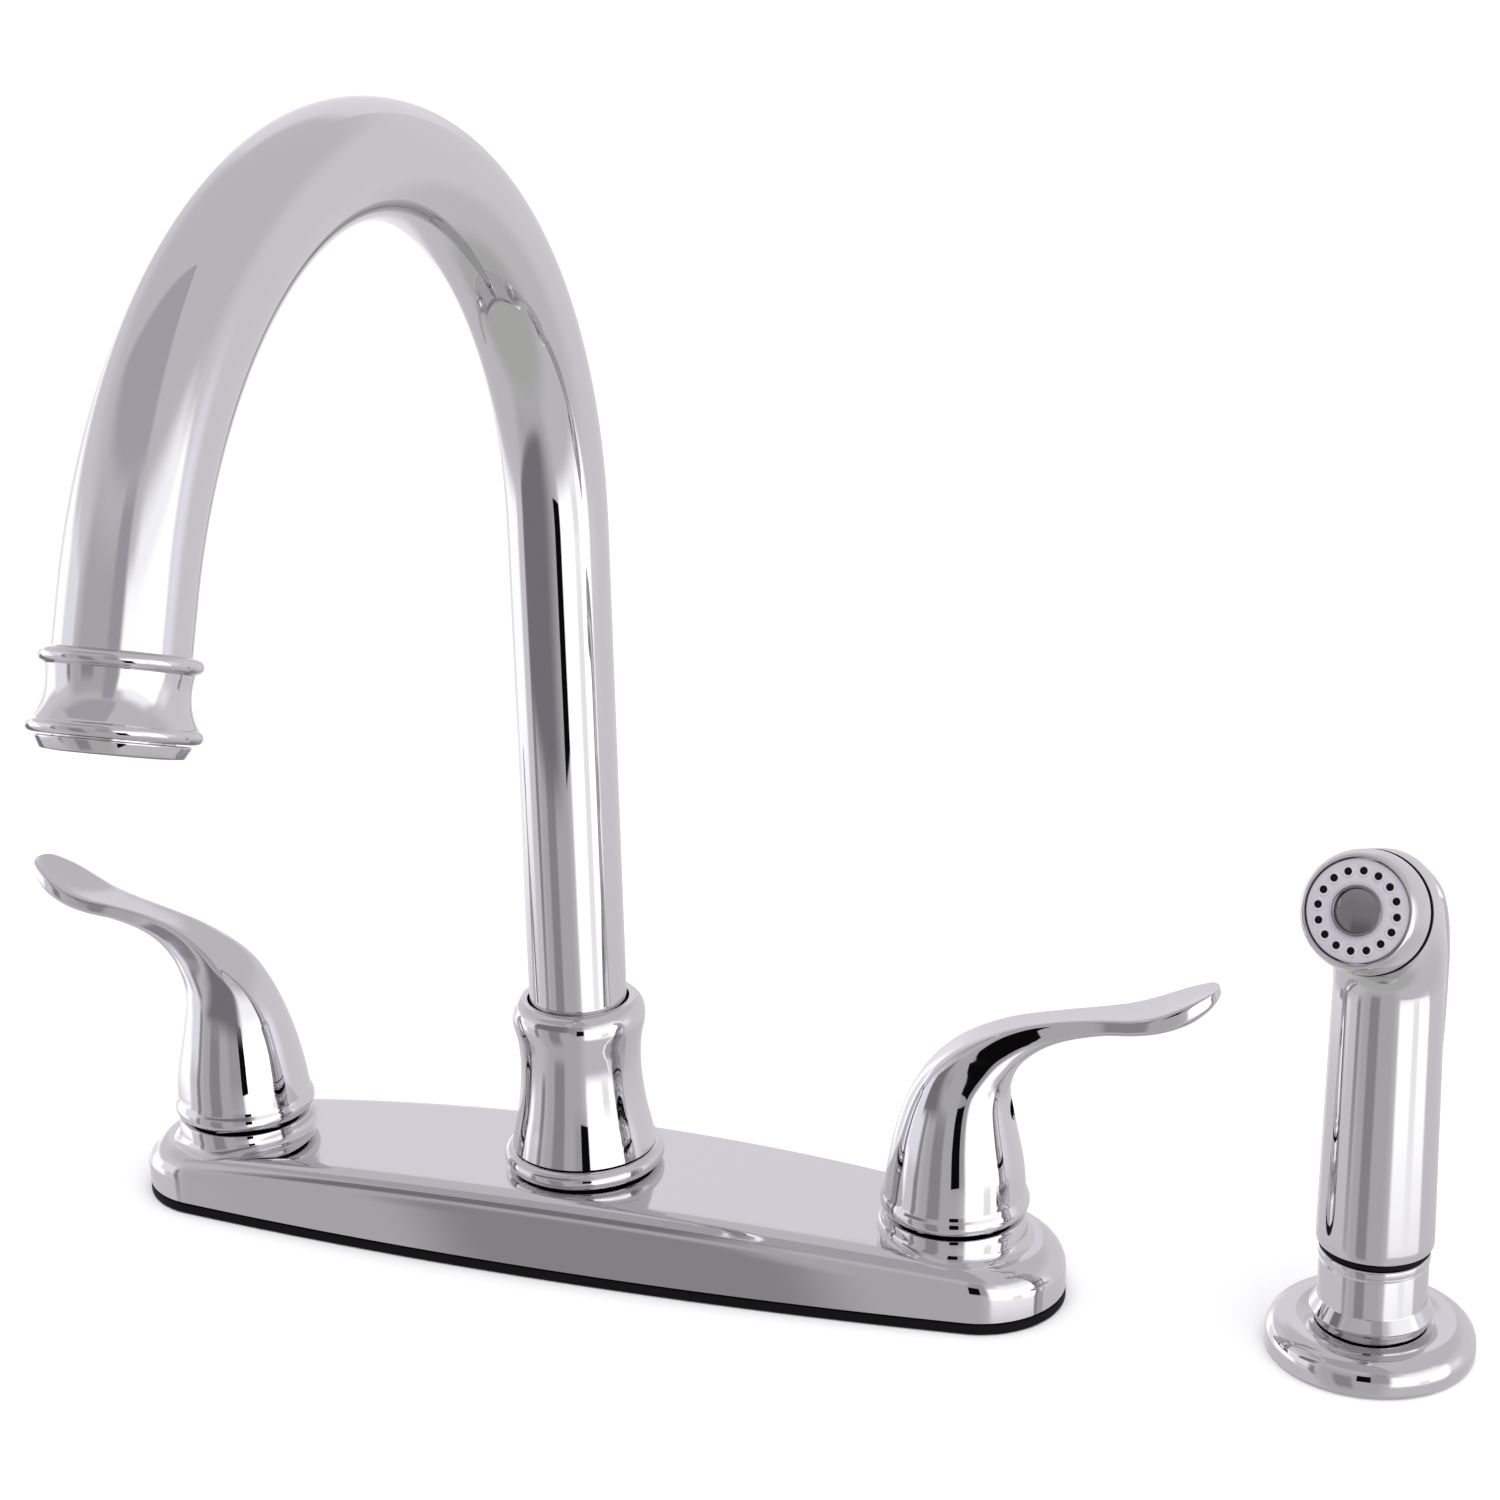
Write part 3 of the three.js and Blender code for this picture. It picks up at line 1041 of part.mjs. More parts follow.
function trigger() {
  const shell = saddle(0, 1, 10, (along, wand) => {
    const half = radians(TRIGGER_HALF_WIDTH) * Math.min(1, 0.75 + along * 3, 0.6 + (1 - along) * 3);
    const edge = wand + TRIGGER_EDGE;
    const at = (share, rim, crown) => [
      THREE.MathUtils.lerp(rim, crown, Math.sqrt(1 - share ** 2)), share * half];
    const shares = [-1, -0.85, -0.45, 0, 0.45, 0.85, 1];
    return [...shares.map((share) => at(share, edge, triggerOutsideAt(along))),
      ...shares.map((share) => at(-share, edge - TRIGGER_RIM, triggerInsideAt(along)))];
  });
  const reach = PIN_DEPTH + 3.5;
  const foot = PIN_OUT - 2.2 * PIN_RADIUS;
  const tongue = atPin(box(TONGUE_WIDTH, reach, 5 * PIN_RADIUS, 0, foot + reach / 2, 0));
  return cut(join(shell, tongue), pinRod(PIN_RADIUS + SEAT, TONGUE_WIDTH));
}

const triggerPin = pinRod(PIN_RADIUS, PIN_HALF);

const plungerAlong = (STRAIGHT_SHARE * (PLUNGER_HEIGHT - TRIGGER_FOOT)) / straightPart;

function plunger() {
  const headBack = chamberBack - SEAT;
  const headFront = headBack - PLUNGER_HEAD;
  const plungerTip = triggerInsideAt(plungerAlong) - PLUNGER_REST;
  const rodPart = depthRod(PLUNGER_RADIUS, headFront - PLUNGER_TAIL, plungerTip, PLUNGER_HEIGHT, TINY);
  return join(rodPart, depthRod(PLUNGER_HEAD_RADIUS, headFront, headBack, PLUNGER_HEIGHT, SMALL));
}

// the return spring, at the length that it has when the trigger is pressed
class Coil extends THREE.Curve {
  constructor(radius, pitch) {
    super();
    Object.assign(this, { radius, pitch });
  }

  getPoint(t) {
    const turns = SPRING_TURNS * t;
    const around = new THREE.Vector2(this.radius, 0).rotateAround(new THREE.Vector2(), 2 * Math.PI * turns);
    return new THREE.Vector3(around.x, this.pitch * turns, around.y);
  }
}

function returnSpring() {
  const start = chamberFront + SEAT + SPRING_WIRE;
  const end = chamberBack - SEAT - PLUNGER_HEAD - PLUNGER_TRAVEL - SEAT - SPRING_WIRE;
  const coil = new Coil(CHAMBER_RADIUS - SEAT - 2 * SPRING_WIRE, (end - start) / SPRING_TURNS);
  const wire = new THREE.Shape(Array.from({ length: 5 }, (_, i) => {
    const angle = (2 * Math.PI * i) / 5;
    return new THREE.Vector2(SPRING_WIRE * Math.cos(angle), SPRING_WIRE * Math.sin(angle));
  }));
  const geometry = new THREE.ExtrudeGeometry(wire, { steps: 8 * SPRING_TURNS, extrudePath: coil });
  return solid(geometry.translate(0, start, PLUNGER_HEIGHT));
}

place('trigger', trigger(), CHROME, spray);
place('trigger_pin', triggerPin, STEEL, spray);
place('spray_plunger', plunger(), BRASS, spray);
place('plunger_spring', returnSpring(), STEEL, spray);

export default faucet;
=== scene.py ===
# %% [markdown]
# # A kitchen faucet with a side spray
# This lesson dresses a finished CAD model for a studio picture. The faucet is almost all mirror chrome,
# and a mirror has no look of its own: it shows the shape of its surface through the room round it.
# So two things matter here, clean smooth skins with soft edges, and a believable studio to reflect.
# The model arrives as a frame of bodies and nodes, and every piece made here rides on one of its bodies.

# %% Load the frame
import bpy
import json
from math import atan2, cos, degrees, hypot, pi, radians, sin, sqrt, tan
from mathutils import Matrix, Vector


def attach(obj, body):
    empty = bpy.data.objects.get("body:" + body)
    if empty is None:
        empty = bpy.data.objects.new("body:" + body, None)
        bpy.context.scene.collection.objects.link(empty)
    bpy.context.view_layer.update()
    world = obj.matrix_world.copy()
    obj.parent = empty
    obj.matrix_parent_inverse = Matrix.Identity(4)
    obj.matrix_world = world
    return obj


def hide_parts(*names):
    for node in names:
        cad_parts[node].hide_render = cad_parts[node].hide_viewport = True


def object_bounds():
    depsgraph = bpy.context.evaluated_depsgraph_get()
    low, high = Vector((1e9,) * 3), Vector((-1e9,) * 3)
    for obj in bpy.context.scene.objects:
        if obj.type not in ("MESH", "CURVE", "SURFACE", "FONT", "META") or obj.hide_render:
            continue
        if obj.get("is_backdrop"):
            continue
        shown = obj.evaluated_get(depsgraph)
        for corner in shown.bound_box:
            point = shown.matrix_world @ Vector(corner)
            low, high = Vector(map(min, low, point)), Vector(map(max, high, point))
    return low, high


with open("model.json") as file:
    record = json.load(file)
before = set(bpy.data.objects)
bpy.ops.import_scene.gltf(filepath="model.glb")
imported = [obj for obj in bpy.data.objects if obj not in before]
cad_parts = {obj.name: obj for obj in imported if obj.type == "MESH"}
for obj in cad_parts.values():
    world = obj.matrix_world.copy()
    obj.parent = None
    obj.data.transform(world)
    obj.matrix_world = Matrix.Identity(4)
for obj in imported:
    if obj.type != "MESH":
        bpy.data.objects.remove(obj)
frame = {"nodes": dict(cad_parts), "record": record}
cad_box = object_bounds()
print("the CAD model's box:", cad_box)

# %% [markdown]
# ## Millimetres and pieces
# A faucet is drawn in millimetres and Blender works in metres. Every shape below is worked out in
# millimetres. One function turns it into a mesh, shades it smooth with its real creases kept sharp and
# hangs it on its body, as the skin of the CAD node with the same name. A mesh could also be built with
# modifiers on a cylinder, but plain rings of points give exact radii and the fewest surprises in a mirror.

# %% Functions for every piece
MM = 0.001
CREASE = 32  # degrees between two faces above which the edge stays sharp
scene = bpy.context.scene


def new_object(name, points, faces, place=Matrix()):
    mesh = bpy.data.meshes.new(name)
    mesh.from_pydata([(place @ Vector(p)) * MM for p in points], [], faces)
    made = bpy.data.objects.new(name, mesh)
    scene.collection.objects.link(made)
    return made


def add_piece(name, skin, body, material, place=Matrix(), crease=CREASE, extra=False):
    """Make one piece: the skin of the CAD node with this name, or an extra piece."""
    piece = new_object(name if extra else f"{name}_skin", *skin, place)
    mesh = piece.data
    mesh.validate()
    mesh.materials.append(material)
    mesh.shade_smooth()
    mesh.set_sharp_from_angle(angle=radians(crease))
    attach(piece, body)
    if not extra:
        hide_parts(name)
    print(piece.name, "has", len(mesh.polygons), "faces and rides on", body)
    return piece


# %% [markdown]
# ## Turned parts
# The spout's base, the beads, the flange and the nozzle all come off a lathe. A turned part is a profile
# of radius and height spun about an axis. Real turned edges are never knife sharp: the polishing before
# the chrome bath rounds them, and that small round catches the bright line which tells the eye that it
# is metal. So each corner of a profile carries the radius of its rounding.

# %% Lathe helpers
AROUND = 128  # points round a turned part


def circle(radius, height, around=AROUND, x=0, y=0):
    return [(x + radius * cos(2 * pi * k / around), y + radius * sin(2 * pi * k / around), height)
            for k in range(around)]


def arc(r, z, across, up, angles):
    """Part of a circle or an ellipse in a profile, with its middle at radius r and height z."""
    return [(r + across * cos(radians(a)), z + up * sin(radians(a))) for a in angles]


def band(a, b, count):
    """The faces between two rings of points, which begin at point a and at point b."""
    return [(a + k, a + (k + 1) % count, b + (k + 1) % count, b + k) for k in range(count)]


def rounded(corners, steps=5):
    """Replace each (radius, height, rounding) corner of a closed profile by a small arc."""
    points = []
    for i, (r, z, rounding) in enumerate(corners):
        corner = Vector((r, z))
        before = Vector(corners[i - 1][:2]) - corner
        after = Vector(corners[(i + 1) % len(corners)][:2]) - corner
        if rounding == 0 or before.length < 1e-6 or after.length < 1e-6:
            points.append((r, z))
            continue
        angle = before.angle(after)
        reach = min(rounding / tan(angle / 2), 0.48 * before.length, 0.48 * after.length)
        before.normalize()
        after.normalize()
        middle = (before + after).normalized() * (reach / cos(angle / 2))
        start, end = before * reach - middle, after * reach - middle
        sweep = start.angle(end)
        for k in range(steps + 1):
            t = k / steps
            bow = (start * sin((1 - t) * sweep) + end * sin(t * sweep)) / sin(sweep)
            points.append(tuple(corner + middle + bow))
    return points


def through(points, steps):
    """A smooth run of points through the given ones (a uniform Catmull-Rom spline)."""
    out = []
    last = len(points) - 1
    for k in range(last * steps + 1):
        t = k / steps
        i = min(int(t), last - 1)
        t -= i
        a, b = points[max(i - 1, 0)], points[i]
        c, d = points[i + 1], points[min(i + 2, last)]
        out.append(tuple(0.5 * (2 * q + (r - p) * t + (2 * p - 5 * q + 4 * r - s) * t * t
                                + (3 * q - p - 3 * r + s) * t ** 3) for p, q, r, s in zip(a, b, c, d)))
    return out


def turned(profile, around=AROUND):
    """Spin a closed profile about Z; a profile that begins and ends on the axis makes a solid piece."""
    on_axis = profile[0][0] < 1e-6 and profile[-1][0] < 1e-6
    rows = profile[1:-1] if on_axis else profile
    points = [p for r, z in rows for p in circle(r, z, around)]
    faces = []
    for i in range(len(rows) - on_axis):
        faces += band(i * around, (i + 1) % len(rows) * around, around)
    if on_axis:
        for row, (r, z) in ((0, profile[0]), (len(rows) - 1, profile[-1])):
            tip = len(points)
            points.append((0, 0, z))
            for k in range(around):
                a, b = row * around + k, row * around + (k + 1) % around
                faces.append((tip, b, a) if row == 0 else (tip, a, b))
    return outward(points, faces)


def outward(points, faces):
    """Turn all faces over if the closed skin encloses a negative volume."""
    volume = 0
    for face in faces:
        a = Vector(points[face[0]])
        for b, c in zip(face[1:-1], face[2:]):
            volume += a.dot(Vector(points[b]).cross(Vector(points[c])))
    return points, (faces if volume > 0 else [tuple(reversed(f)) for f in faces])


def lofted(rings, lids=True):
    """Join rings of equally many points; the two ends get a lid each, or meet if lids is false."""
    count = len(rings[0])
    points = [tuple(p) for ring in rings for p in ring]
    faces = []
    for i in range(len(rings) - lids):
        faces += band(i * count, (i + 1) % len(rings) * count, count)
    if lids:
        last = (len(rings) - 1) * count
        for base, flip in ((0, True), (last, False)):
            for k in range(count // 2 - 1):
                quad = (base + k, base + k + 1, base + count - 2 - k, base + count - 1 - k)
                faces.append(tuple(reversed(quad)) if flip else quad)
    return outward(points, faces)


print("a lathe with", AROUND, "points round is", round(2 * 20 * sin(pi / AROUND), 2), "mm a step at 20 mm")

# %% [markdown]
# ## Colours and nodes
# Colours are picked on screen as sRGB and the shader wants linear light, so one function converts them.
# Another adds a node, sets its values and links its inputs, which keeps each material readable as a
# recipe from top to bottom.

# %% Colour and node helpers


def linear(hex_colour):
    channels = [int(hex_colour[i:i + 2], 16) / 255 for i in (0, 2, 4)]
    return tuple(c / 12.92 if c <= 0.04045 else ((c + 0.055) / 1.055) ** 2.4 for c in channels) + (1,)


def feed(tree, target, **inputs):
    """Set or link a node's inputs, which are named, or numbered as i0, i1 and so on."""
    for key, value in inputs.items():
        by_number = key[0] == "i" and key[1:].isdigit()
        socket = target.inputs[int(key[1:]) if by_number else key.replace("_", " ")]
        if isinstance(value, bpy.types.NodeSocket):
            tree.links.new(value, socket)
        else:
            socket.default_value = value


def node(tree, kind, settings=None, **inputs):
    made = tree.nodes.new(kind)
    for key, value in (settings or {}).items():
        setattr(made, key, value)
    feed(tree, made, **inputs)
    return made


def empty_tree(owner):
    owner.use_nodes = True
    owner.node_tree.nodes.clear()
    return owner.node_tree


def new_material(name):
    material = bpy.data.materials.new(name)
    tree = empty_tree(material)
    shader = node(tree, "ShaderNodeBsdfPrincipled")
    node(tree, "ShaderNodeOutputMaterial", Surface=shader.outputs[0])
    place = node(tree, "ShaderNodeTexCoord").outputs["Object"]
    return material, tree, shader, place


def per_mm(size):
    """A texture scale that makes one feature of a noise about this many millimetres wide."""
    return 1 / (size * MM)


print("half grey on screen is", round(linear("808080")[0], 2), "of white in linear light")

# %% [markdown]
# ## Mirror chrome
# The faucet is cast and drawn brass, polished, then plated with nickel and a thin layer of bright
# chromium. The nickel gives the mirror and the chromium its slightly cool grey. The roughness is close
# to zero, with faint smears where a cloth has passed, drawn as wide soft noise 25 mm across. The
# polishing wheel leaves a very slight waviness, about 9 mm from crest to crest, which bends long
# reflections a little. Castings are a touch wavier than drawn tube. The spray's button gets a darker
# copy of the chrome, which is painted shade: a darker reflection painted into its colour.

# %% Chrome


def chrome_plate(name, wave=0.012, colour="dddcde"):
    material, tree, shader, place = new_material(name)
    smear = node(tree, "ShaderNodeTexNoise", Vector=place, Scale=per_mm(25), Detail=3)
    haze = node(tree, "ShaderNodeMapRange", Value=smear.outputs["Fac"], From_Min=0.35, From_Max=0.75,
                To_Min=0.012, To_Max=0.05)
    wheel = node(tree, "ShaderNodeTexNoise", Vector=place, Scale=per_mm(9), Detail=1)
    bump = node(tree, "ShaderNodeBump", Height=wheel.outputs["Fac"], Strength=wave, Distance=0.4 * MM)
    feed(tree, shader, Base_Color=linear(colour), Metallic=1, Roughness=haze.outputs[0],
         Normal=bump.outputs[0])
    return material


chrome = chrome_plate("polished_chrome_plate")
cast_chrome = chrome_plate("chrome_on_casting", wave=0.03)
# painted shade: a darker copy of the chrome, so the spray's button shows a darker reflection
shade_painted_chrome = chrome_plate("chrome_with_painted_shade", colour="98969a")
print("chrome:", [m.name for m in bpy.data.materials])

# %% [markdown]
# ## Brass, steel, rubber and plastics
# The pieces that hardly meet the eye stay in bare metal: machined brass with the fine rings of the tool,
# and stamped steel. Gaskets and seals are moulded black rubber with a soft, broken sheen. The spray's
# face is satin ABS in a light cool grey, and the small parts in the spout are white nylon.

# %% The other finishes


def speckled(tree, shader, noise, colour, shades, roughness):
    """Let a noise shift the colour between two shades and the roughness between two values."""
    first, second = ([min(1, c * shade) for c in linear(colour)[:3]] + [1] for shade in shades)
    tint = node(tree, "ShaderNodeMix", {"data_type": "RGBA"}, i0=noise.outputs["Fac"], i6=first, i7=second)
    rough = node(tree, "ShaderNodeMapRange", Value=noise.outputs["Fac"], To_Min=roughness[0],
                 To_Max=roughness[1])
    feed(tree, shader, Base_Color=tint.outputs[2], Roughness=rough.outputs[0])


def machined(name, colour, ring, roughness):
    material, tree, shader, place = new_material(name)
    split = node(tree, "ShaderNodeSeparateXYZ", Vector=place)
    rings = node(tree, "ShaderNodeMath", {"operation": "SINE"},
                 i0=node(tree, "ShaderNodeMath", {"operation": "MULTIPLY"}, i0=split.outputs[2],
                         i1=2 * pi * per_mm(ring)).outputs[0])
    stain = node(tree, "ShaderNodeTexNoise", Vector=place, Scale=per_mm(6), Detail=4)
    speckled(tree, shader, stain, colour, (1, 0.72), (roughness - 0.08, roughness + 0.12))
    bump = node(tree, "ShaderNodeBump", Height=rings.outputs[0], Strength=0.15, Distance=0.03 * MM)
    feed(tree, shader, Metallic=1, Normal=bump.outputs[0])
    return material


def moulded(name, colour, grain, roughness, depth, sheen=0.5):
    material, tree, shader, place = new_material(name)
    speckle = node(tree, "ShaderNodeTexNoise", Vector=place, Scale=per_mm(grain), Detail=2)
    speckled(tree, shader, speckle, colour, (0.92, 1.06), (roughness - 0.06, roughness + 0.06))
    bump = node(tree, "ShaderNodeBump", Height=speckle.outputs["Fac"], Strength=depth, Distance=0.05 * MM)
    feed(tree, shader, Specular_IOR_Level=sheen, Normal=bump.outputs[0])
    return material


brass = machined("machined_brass", "c9a45c", 0.6, 0.3)
steel = machined("stamped_steel", "b5b7b9", 1.5, 0.34)
rubber = moulded("moulded_black_rubber", "0b0b0b", 0.7, 0.65, 0.3, sheen=0.12)
nylon = moulded("moulded_white_nylon", "e4e2da", 1.2, 0.45, 0.1)
satin_grey = moulded("satin_grey_abs", "b6b2bb", 0.5, 0.38, 0.12)
print("finishes:", [m.name for m in bpy.data.materials])

# %% [markdown]
# ## The camera
# The camera stands in front of the sink, to the right of the spout and well above the deck, with a long
# lens. Its place and its three turns were fitted to the outlines of parts whose size is known. The place
# is written in millimetres, the turns in degrees, and the lens for a frame 36 mm wide.

# %% Camera
CAMERA_AT = (269.31, -620.1, 361.2)
CAMERA_YAW, CAMERA_PITCH, CAMERA_ROLL = 19.55, 18.5, -1.31
FRAME_WIDTH = 36
LENS = 67.38

look = Vector((-sin(radians(CAMERA_YAW)) * cos(radians(CAMERA_PITCH)),
               cos(radians(CAMERA_YAW)) * cos(radians(CAMERA_PITCH)), -sin(radians(CAMERA_PITCH))))
level_right = Vector((cos(radians(CAMERA_YAW)), sin(radians(CAMERA_YAW)), 0))
level_up = level_right.cross(look)
right = level_right * cos(radians(CAMERA_ROLL)) + level_up * sin(radians(CAMERA_ROLL))
up = level_up * cos(radians(CAMERA_ROLL)) - level_right * sin(radians(CAMERA_ROLL))

lens = bpy.data.cameras.new("studio_camera")
lens.lens = LENS
lens.sensor_width = FRAME_WIDTH
lens.sensor_fit = "HORIZONTAL"
lens.clip_start = 0.01
lens.clip_end = 100
camera = bpy.data.objects.new("studio_camera", lens)
pose = Matrix((right, up, -look)).transposed().to_4x4()
pose.translation = Vector(CAMERA_AT) * MM
camera.matrix_world = pose
scene.collection.objects.link(camera)
scene.camera = camera
# the plain transform keeps white paper white and chrome contrasty; the default one softens both
scene.view_settings.view_transform = "Standard"
print("the camera is", round((Vector(CAMERA_AT) - Vector((0, 0, 150))).length), "mm from the spout")

# %% [markdown]
# ## The studio in the mirror
# Chrome is lit by what it reflects. A photographer surrounds it with a light tent and soft boxes, and
# leaves dim gaps between them, because without the gaps a mirror looks like white paint. The
# world shader below is that room, painted by direction as a list of soft edged rectangles, each over the
# ones before it. A line gives the angles round from the sink's front towards the right, the angles above
# the horizon, how soft the two kinds of edge are, the colour that the mirror should show and a strength.

# %% World
CHROME_LOSS = 1 / 0.74  # the room is this much brighter than its reflection
TABLE_COLOUR, TENT_COLOUR = "a5a6a3", "b8b6ba"
TABLE_EDGE = -56  # degrees; the table ends here and the tent begins
panels = [
    (-190, 190, -25, 30, 1, 9, "c6c4c7", 1),  # the tent's walls, all the way round
    (-50, 26, -56, 34, 12, 11, "a5a4a5", 1),  # the front, where nothing is lit
    (-30, -10, -40, 11, 3, 8, "848285", 1),  # a darker stretch of it
    (-58, -50, -26, 10, 2, 6, "828085", 1),  # a seam between two screens
    (8, 29, -10, 42, 4, 8, "969499", 1),  # a fold in the tent
    (-80, 38, 43, 110, 5, 6, "9f9da2", 1),  # a dim panel overhead
    (31, 99, -26, 20, 4, 8, "ffffff", 1.25),  # the large soft box at the right
    (43, 91, 14, 32, 8, 10, "f4f4f7", 1),  # its upper glow
    (60, 74, -26, -12, 3, 5, "e4e4e5", 1),  # a less lit patch at its foot
    (98, 117, -11, 14, 8, 9, "dfdee4", 1),  # the wall beside it, lit by its edge
    (-156, -76, -21, 10, 4, 4, "f5f5f9", 1.1),  # the soft box at the left
    (-128, -112, -20, 6, 4, 4, "dcdce0", 1),  # a less lit strip in its middle
    (-158, -144, -30, 12, 6, 6, "d4d1d6", 1),  # the dim strip behind it
    (-190, -138, 8, 36, 5, 5, "d0ced3", 1),  # the back wall's upper half
    (-84, -57, -8, 16, 4, 3, "dcdce2", 1),  # the wall in front of it
]

scene.world = bpy.data.worlds.new("studio")
sky = empty_tree(scene.world)
direction = node(sky, "ShaderNodeSeparateXYZ",
                 Vector=node(sky, "ShaderNodeTexCoord").outputs["Generated"])
front = node(sky, "ShaderNodeMath", {"operation": "MULTIPLY"}, i0=direction.outputs[1], i1=-1)
turn = node(sky, "ShaderNodeMath", {"operation": "ARCTAN2"}, i0=direction.outputs[0], i1=front.outputs[0])
climb = node(sky, "ShaderNodeMath", {"operation": "ARCSINE"}, i0=direction.outputs[2])


def within(tree, value, low, high, soft):
    """1 between two values, fading out over the soft stretch on each side."""
    off = node(tree, "ShaderNodeMath", {"operation": "SUBTRACT"}, i0=value, i1=(low + high) / 2)
    far = node(tree, "ShaderNodeMath", {"operation": "ABSOLUTE"}, i0=off.outputs[0])
    half = (high - low) / 2
    return node(tree, "ShaderNodeMapRange", {"interpolation_type": "SMOOTHSTEP"}, Value=far.outputs[0],
                From_Min=half - soft, From_Max=half + soft, To_Min=1, To_Max=0).outputs[0]


def in_mirror(colour, strength=1):
    return [c * strength * CHROME_LOSS for c in linear(colour)[:3]] + [1]


# steeply down lies the table, and all round it stands the tent
room = node(sky, "ShaderNodeMix", {"data_type": "RGBA"},
            i0=within(sky, climb.outputs[0], radians(TABLE_EDGE), radians(200), radians(8)),
            i6=in_mirror(TABLE_COLOUR), i7=in_mirror(TENT_COLOUR))
for low, high, bottom, top, soft_round, soft_height, colour, strength in panels:
    mask = node(sky, "ShaderNodeMath", {"operation": "MULTIPLY"},
                i0=within(sky, turn.outputs[0], radians(low), radians(high), radians(soft_round)),
                i1=within(sky, climb.outputs[0], radians(bottom), radians(top), radians(soft_height)))
    room = node(sky, "ShaderNodeMix", {"data_type": "RGBA"}, i0=mask.outputs[0], i6=room.outputs[2],
                i7=in_mirror(colour, strength))
background = node(sky, "ShaderNodeBackground", Color=room.outputs[2], Strength=1.0)
node(sky, "ShaderNodeOutputWorld", Surface=background.outputs[0])
print("the studio has", len(panels), "panels")

# %% [markdown]
# ## Two dark cards close by
# What stands near the faucet looks different from each part of it, so direction alone can't paint it.
# Two flags do that job. A wide dim one in front of the faucet draws the broad band down the tube's leg and
# the one along the plate's rolled edge. A black one near the camera draws the crisp line on the leg. Only
# the mirror finish sees them. They are made of net and thin out towards their edges.

# %% Flags


def flag(name, start, end, y, bottom, top, colour, soft):
    corners = [(start, y, bottom), (end, y, bottom), (end, y, top), (start, y, top)]
    card = new_object(name, corners, [(0, 1, 2, 3)])
    material = bpy.data.materials.new(name)
    card.data.materials.append(material)
    net = empty_tree(material)
    across = node(net, "ShaderNodeSeparateXYZ",
                  Vector=node(net, "ShaderNodeTexCoord").outputs["Generated"])
    dense = node(net, "ShaderNodeMath", {"operation": "MULTIPLY"},
                 i0=within(net, across.outputs[0], soft, 1 - soft, soft),
                 i1=within(net, across.outputs[2], soft, 1 - soft, soft))
    glow = node(net, "ShaderNodeEmission", Color=in_mirror(colour), Strength=1.0)
    clear = node(net, "ShaderNodeBsdfTransparent")
    both = node(net, "ShaderNodeMixShader", i0=dense.outputs[0], i1=clear.outputs[0], i2=glow.outputs[0])
    node(net, "ShaderNodeOutputMaterial", Surface=both.outputs[0])
    card.visible_camera = card.visible_diffuse = card.visible_shadow = card.visible_transmission = False
    card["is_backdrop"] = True
    print(name, "is", end - start, "mm wide")


flag("dim_flag", -260, 60, -150, 66, 190, "706e73", 0.12)
flag("black_flag", 162, 290, -500, -50, 210, "0a0a0b", 0.01)

# %% [markdown]
# ## Floor and soft light
# The sweep under the faucet is plain white paper. A large soft sun from above makes it even all the way
# to the horizon, and one bank of light from the front gives the small matt parts some shape. The lamps
# and the floor are hidden from the mirror finish, because the room above already holds its own soft
# boxes and its own table.

# %% Floor and lamps
FLOOR_HALF = 20000
FLOOR_DROP = 0.2  # so that the floor doesn't fight with what stands on it
paper, tree, shader, place = new_material("white_paper_sweep")
fibre = node(tree, "ShaderNodeTexNoise", Vector=place, Scale=per_mm(40), Detail=2)
tone = node(tree, "ShaderNodeMix", {"data_type": "RGBA"}, i0=fibre.outputs["Fac"], i6=linear("f4f4f4"),
            i7=linear("f8f8f8"))
feed(tree, shader, Base_Color=tone.outputs[2], Roughness=0.9)
floor = new_object("floor", [(x * FLOOR_HALF, y * FLOOR_HALF, 0) for x, y in
                             ((-1, -1), (1, -1), (1, 1), (-1, 1))], [(0, 1, 2, 3)])
floor.data.materials.append(paper)
floor.location.z = -FLOOR_DROP * MM
floor.visible_glossy = False
floor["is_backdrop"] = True


def soft_lamp(name, kind, at, energy, settings):
    lamp = bpy.data.lights.new(name, kind)
    lamp.energy = energy
    for key, value in settings.items():
        setattr(lamp, key, value)
    holder = bpy.data.objects.new(name, lamp)
    holder.location = at
    holder.rotation_euler = (Vector((0, 0, 0.1)) - Vector(at)).to_track_quat("-Z", "Y").to_euler()
    holder.visible_glossy = False
    scene.collection.objects.link(holder)


soft_lamp("overhead_sun", "SUN", (0.3, -0.6, 2.6), 1.9, {"angle": radians(70)})
soft_lamp("front_bank", "AREA", (1.2, -2.4, 1.6), 20, {"shape": "SQUARE", "size": 2.4})
print("floor is", 2 * FLOOR_HALF * MM, "m wide")

# %% [markdown]
# ## The deck plate
# The plate that covers the three holes of the sink is a long shallow shell. Seen from above, two round
# ends are joined by two very flat arcs. Its top is crowned: highest under the spout and falling away to
# the handles, like the back of a boat. The edge is rolled over with a 6.4 mm round. The outline is
# worked out once and offset inwards for each step of the round, and the top is filled with a grid so
# that the long reflections on it stay straight.

# %% Deck plate
HANDLE_X = 101.6
PLATE_HALF_LENGTH = 130.1
PLATE_HALF_WIDTH = 27.6
END_RADIUS = 22.3
CROWN = 22.1
CROWN_DROP = 4.6
EDGE_ROUND = 6.4
PLATE_FOOT = 2.9
FOOT_SOFT = 0.35
WALL = 2.2
SIDE_STEPS, LID_STEPS = 40, 12

end_x = PLATE_HALF_LENGTH - END_RADIUS
bulge = PLATE_HALF_WIDTH - END_RADIUS
side_centre = (end_x ** 2 - bulge ** 2) / (2 * bulge)
side_turn = atan2(end_x, side_centre)


def crown_at(x):
    return CROWN - CROWN_DROP * (x / HANDLE_X) ** 2


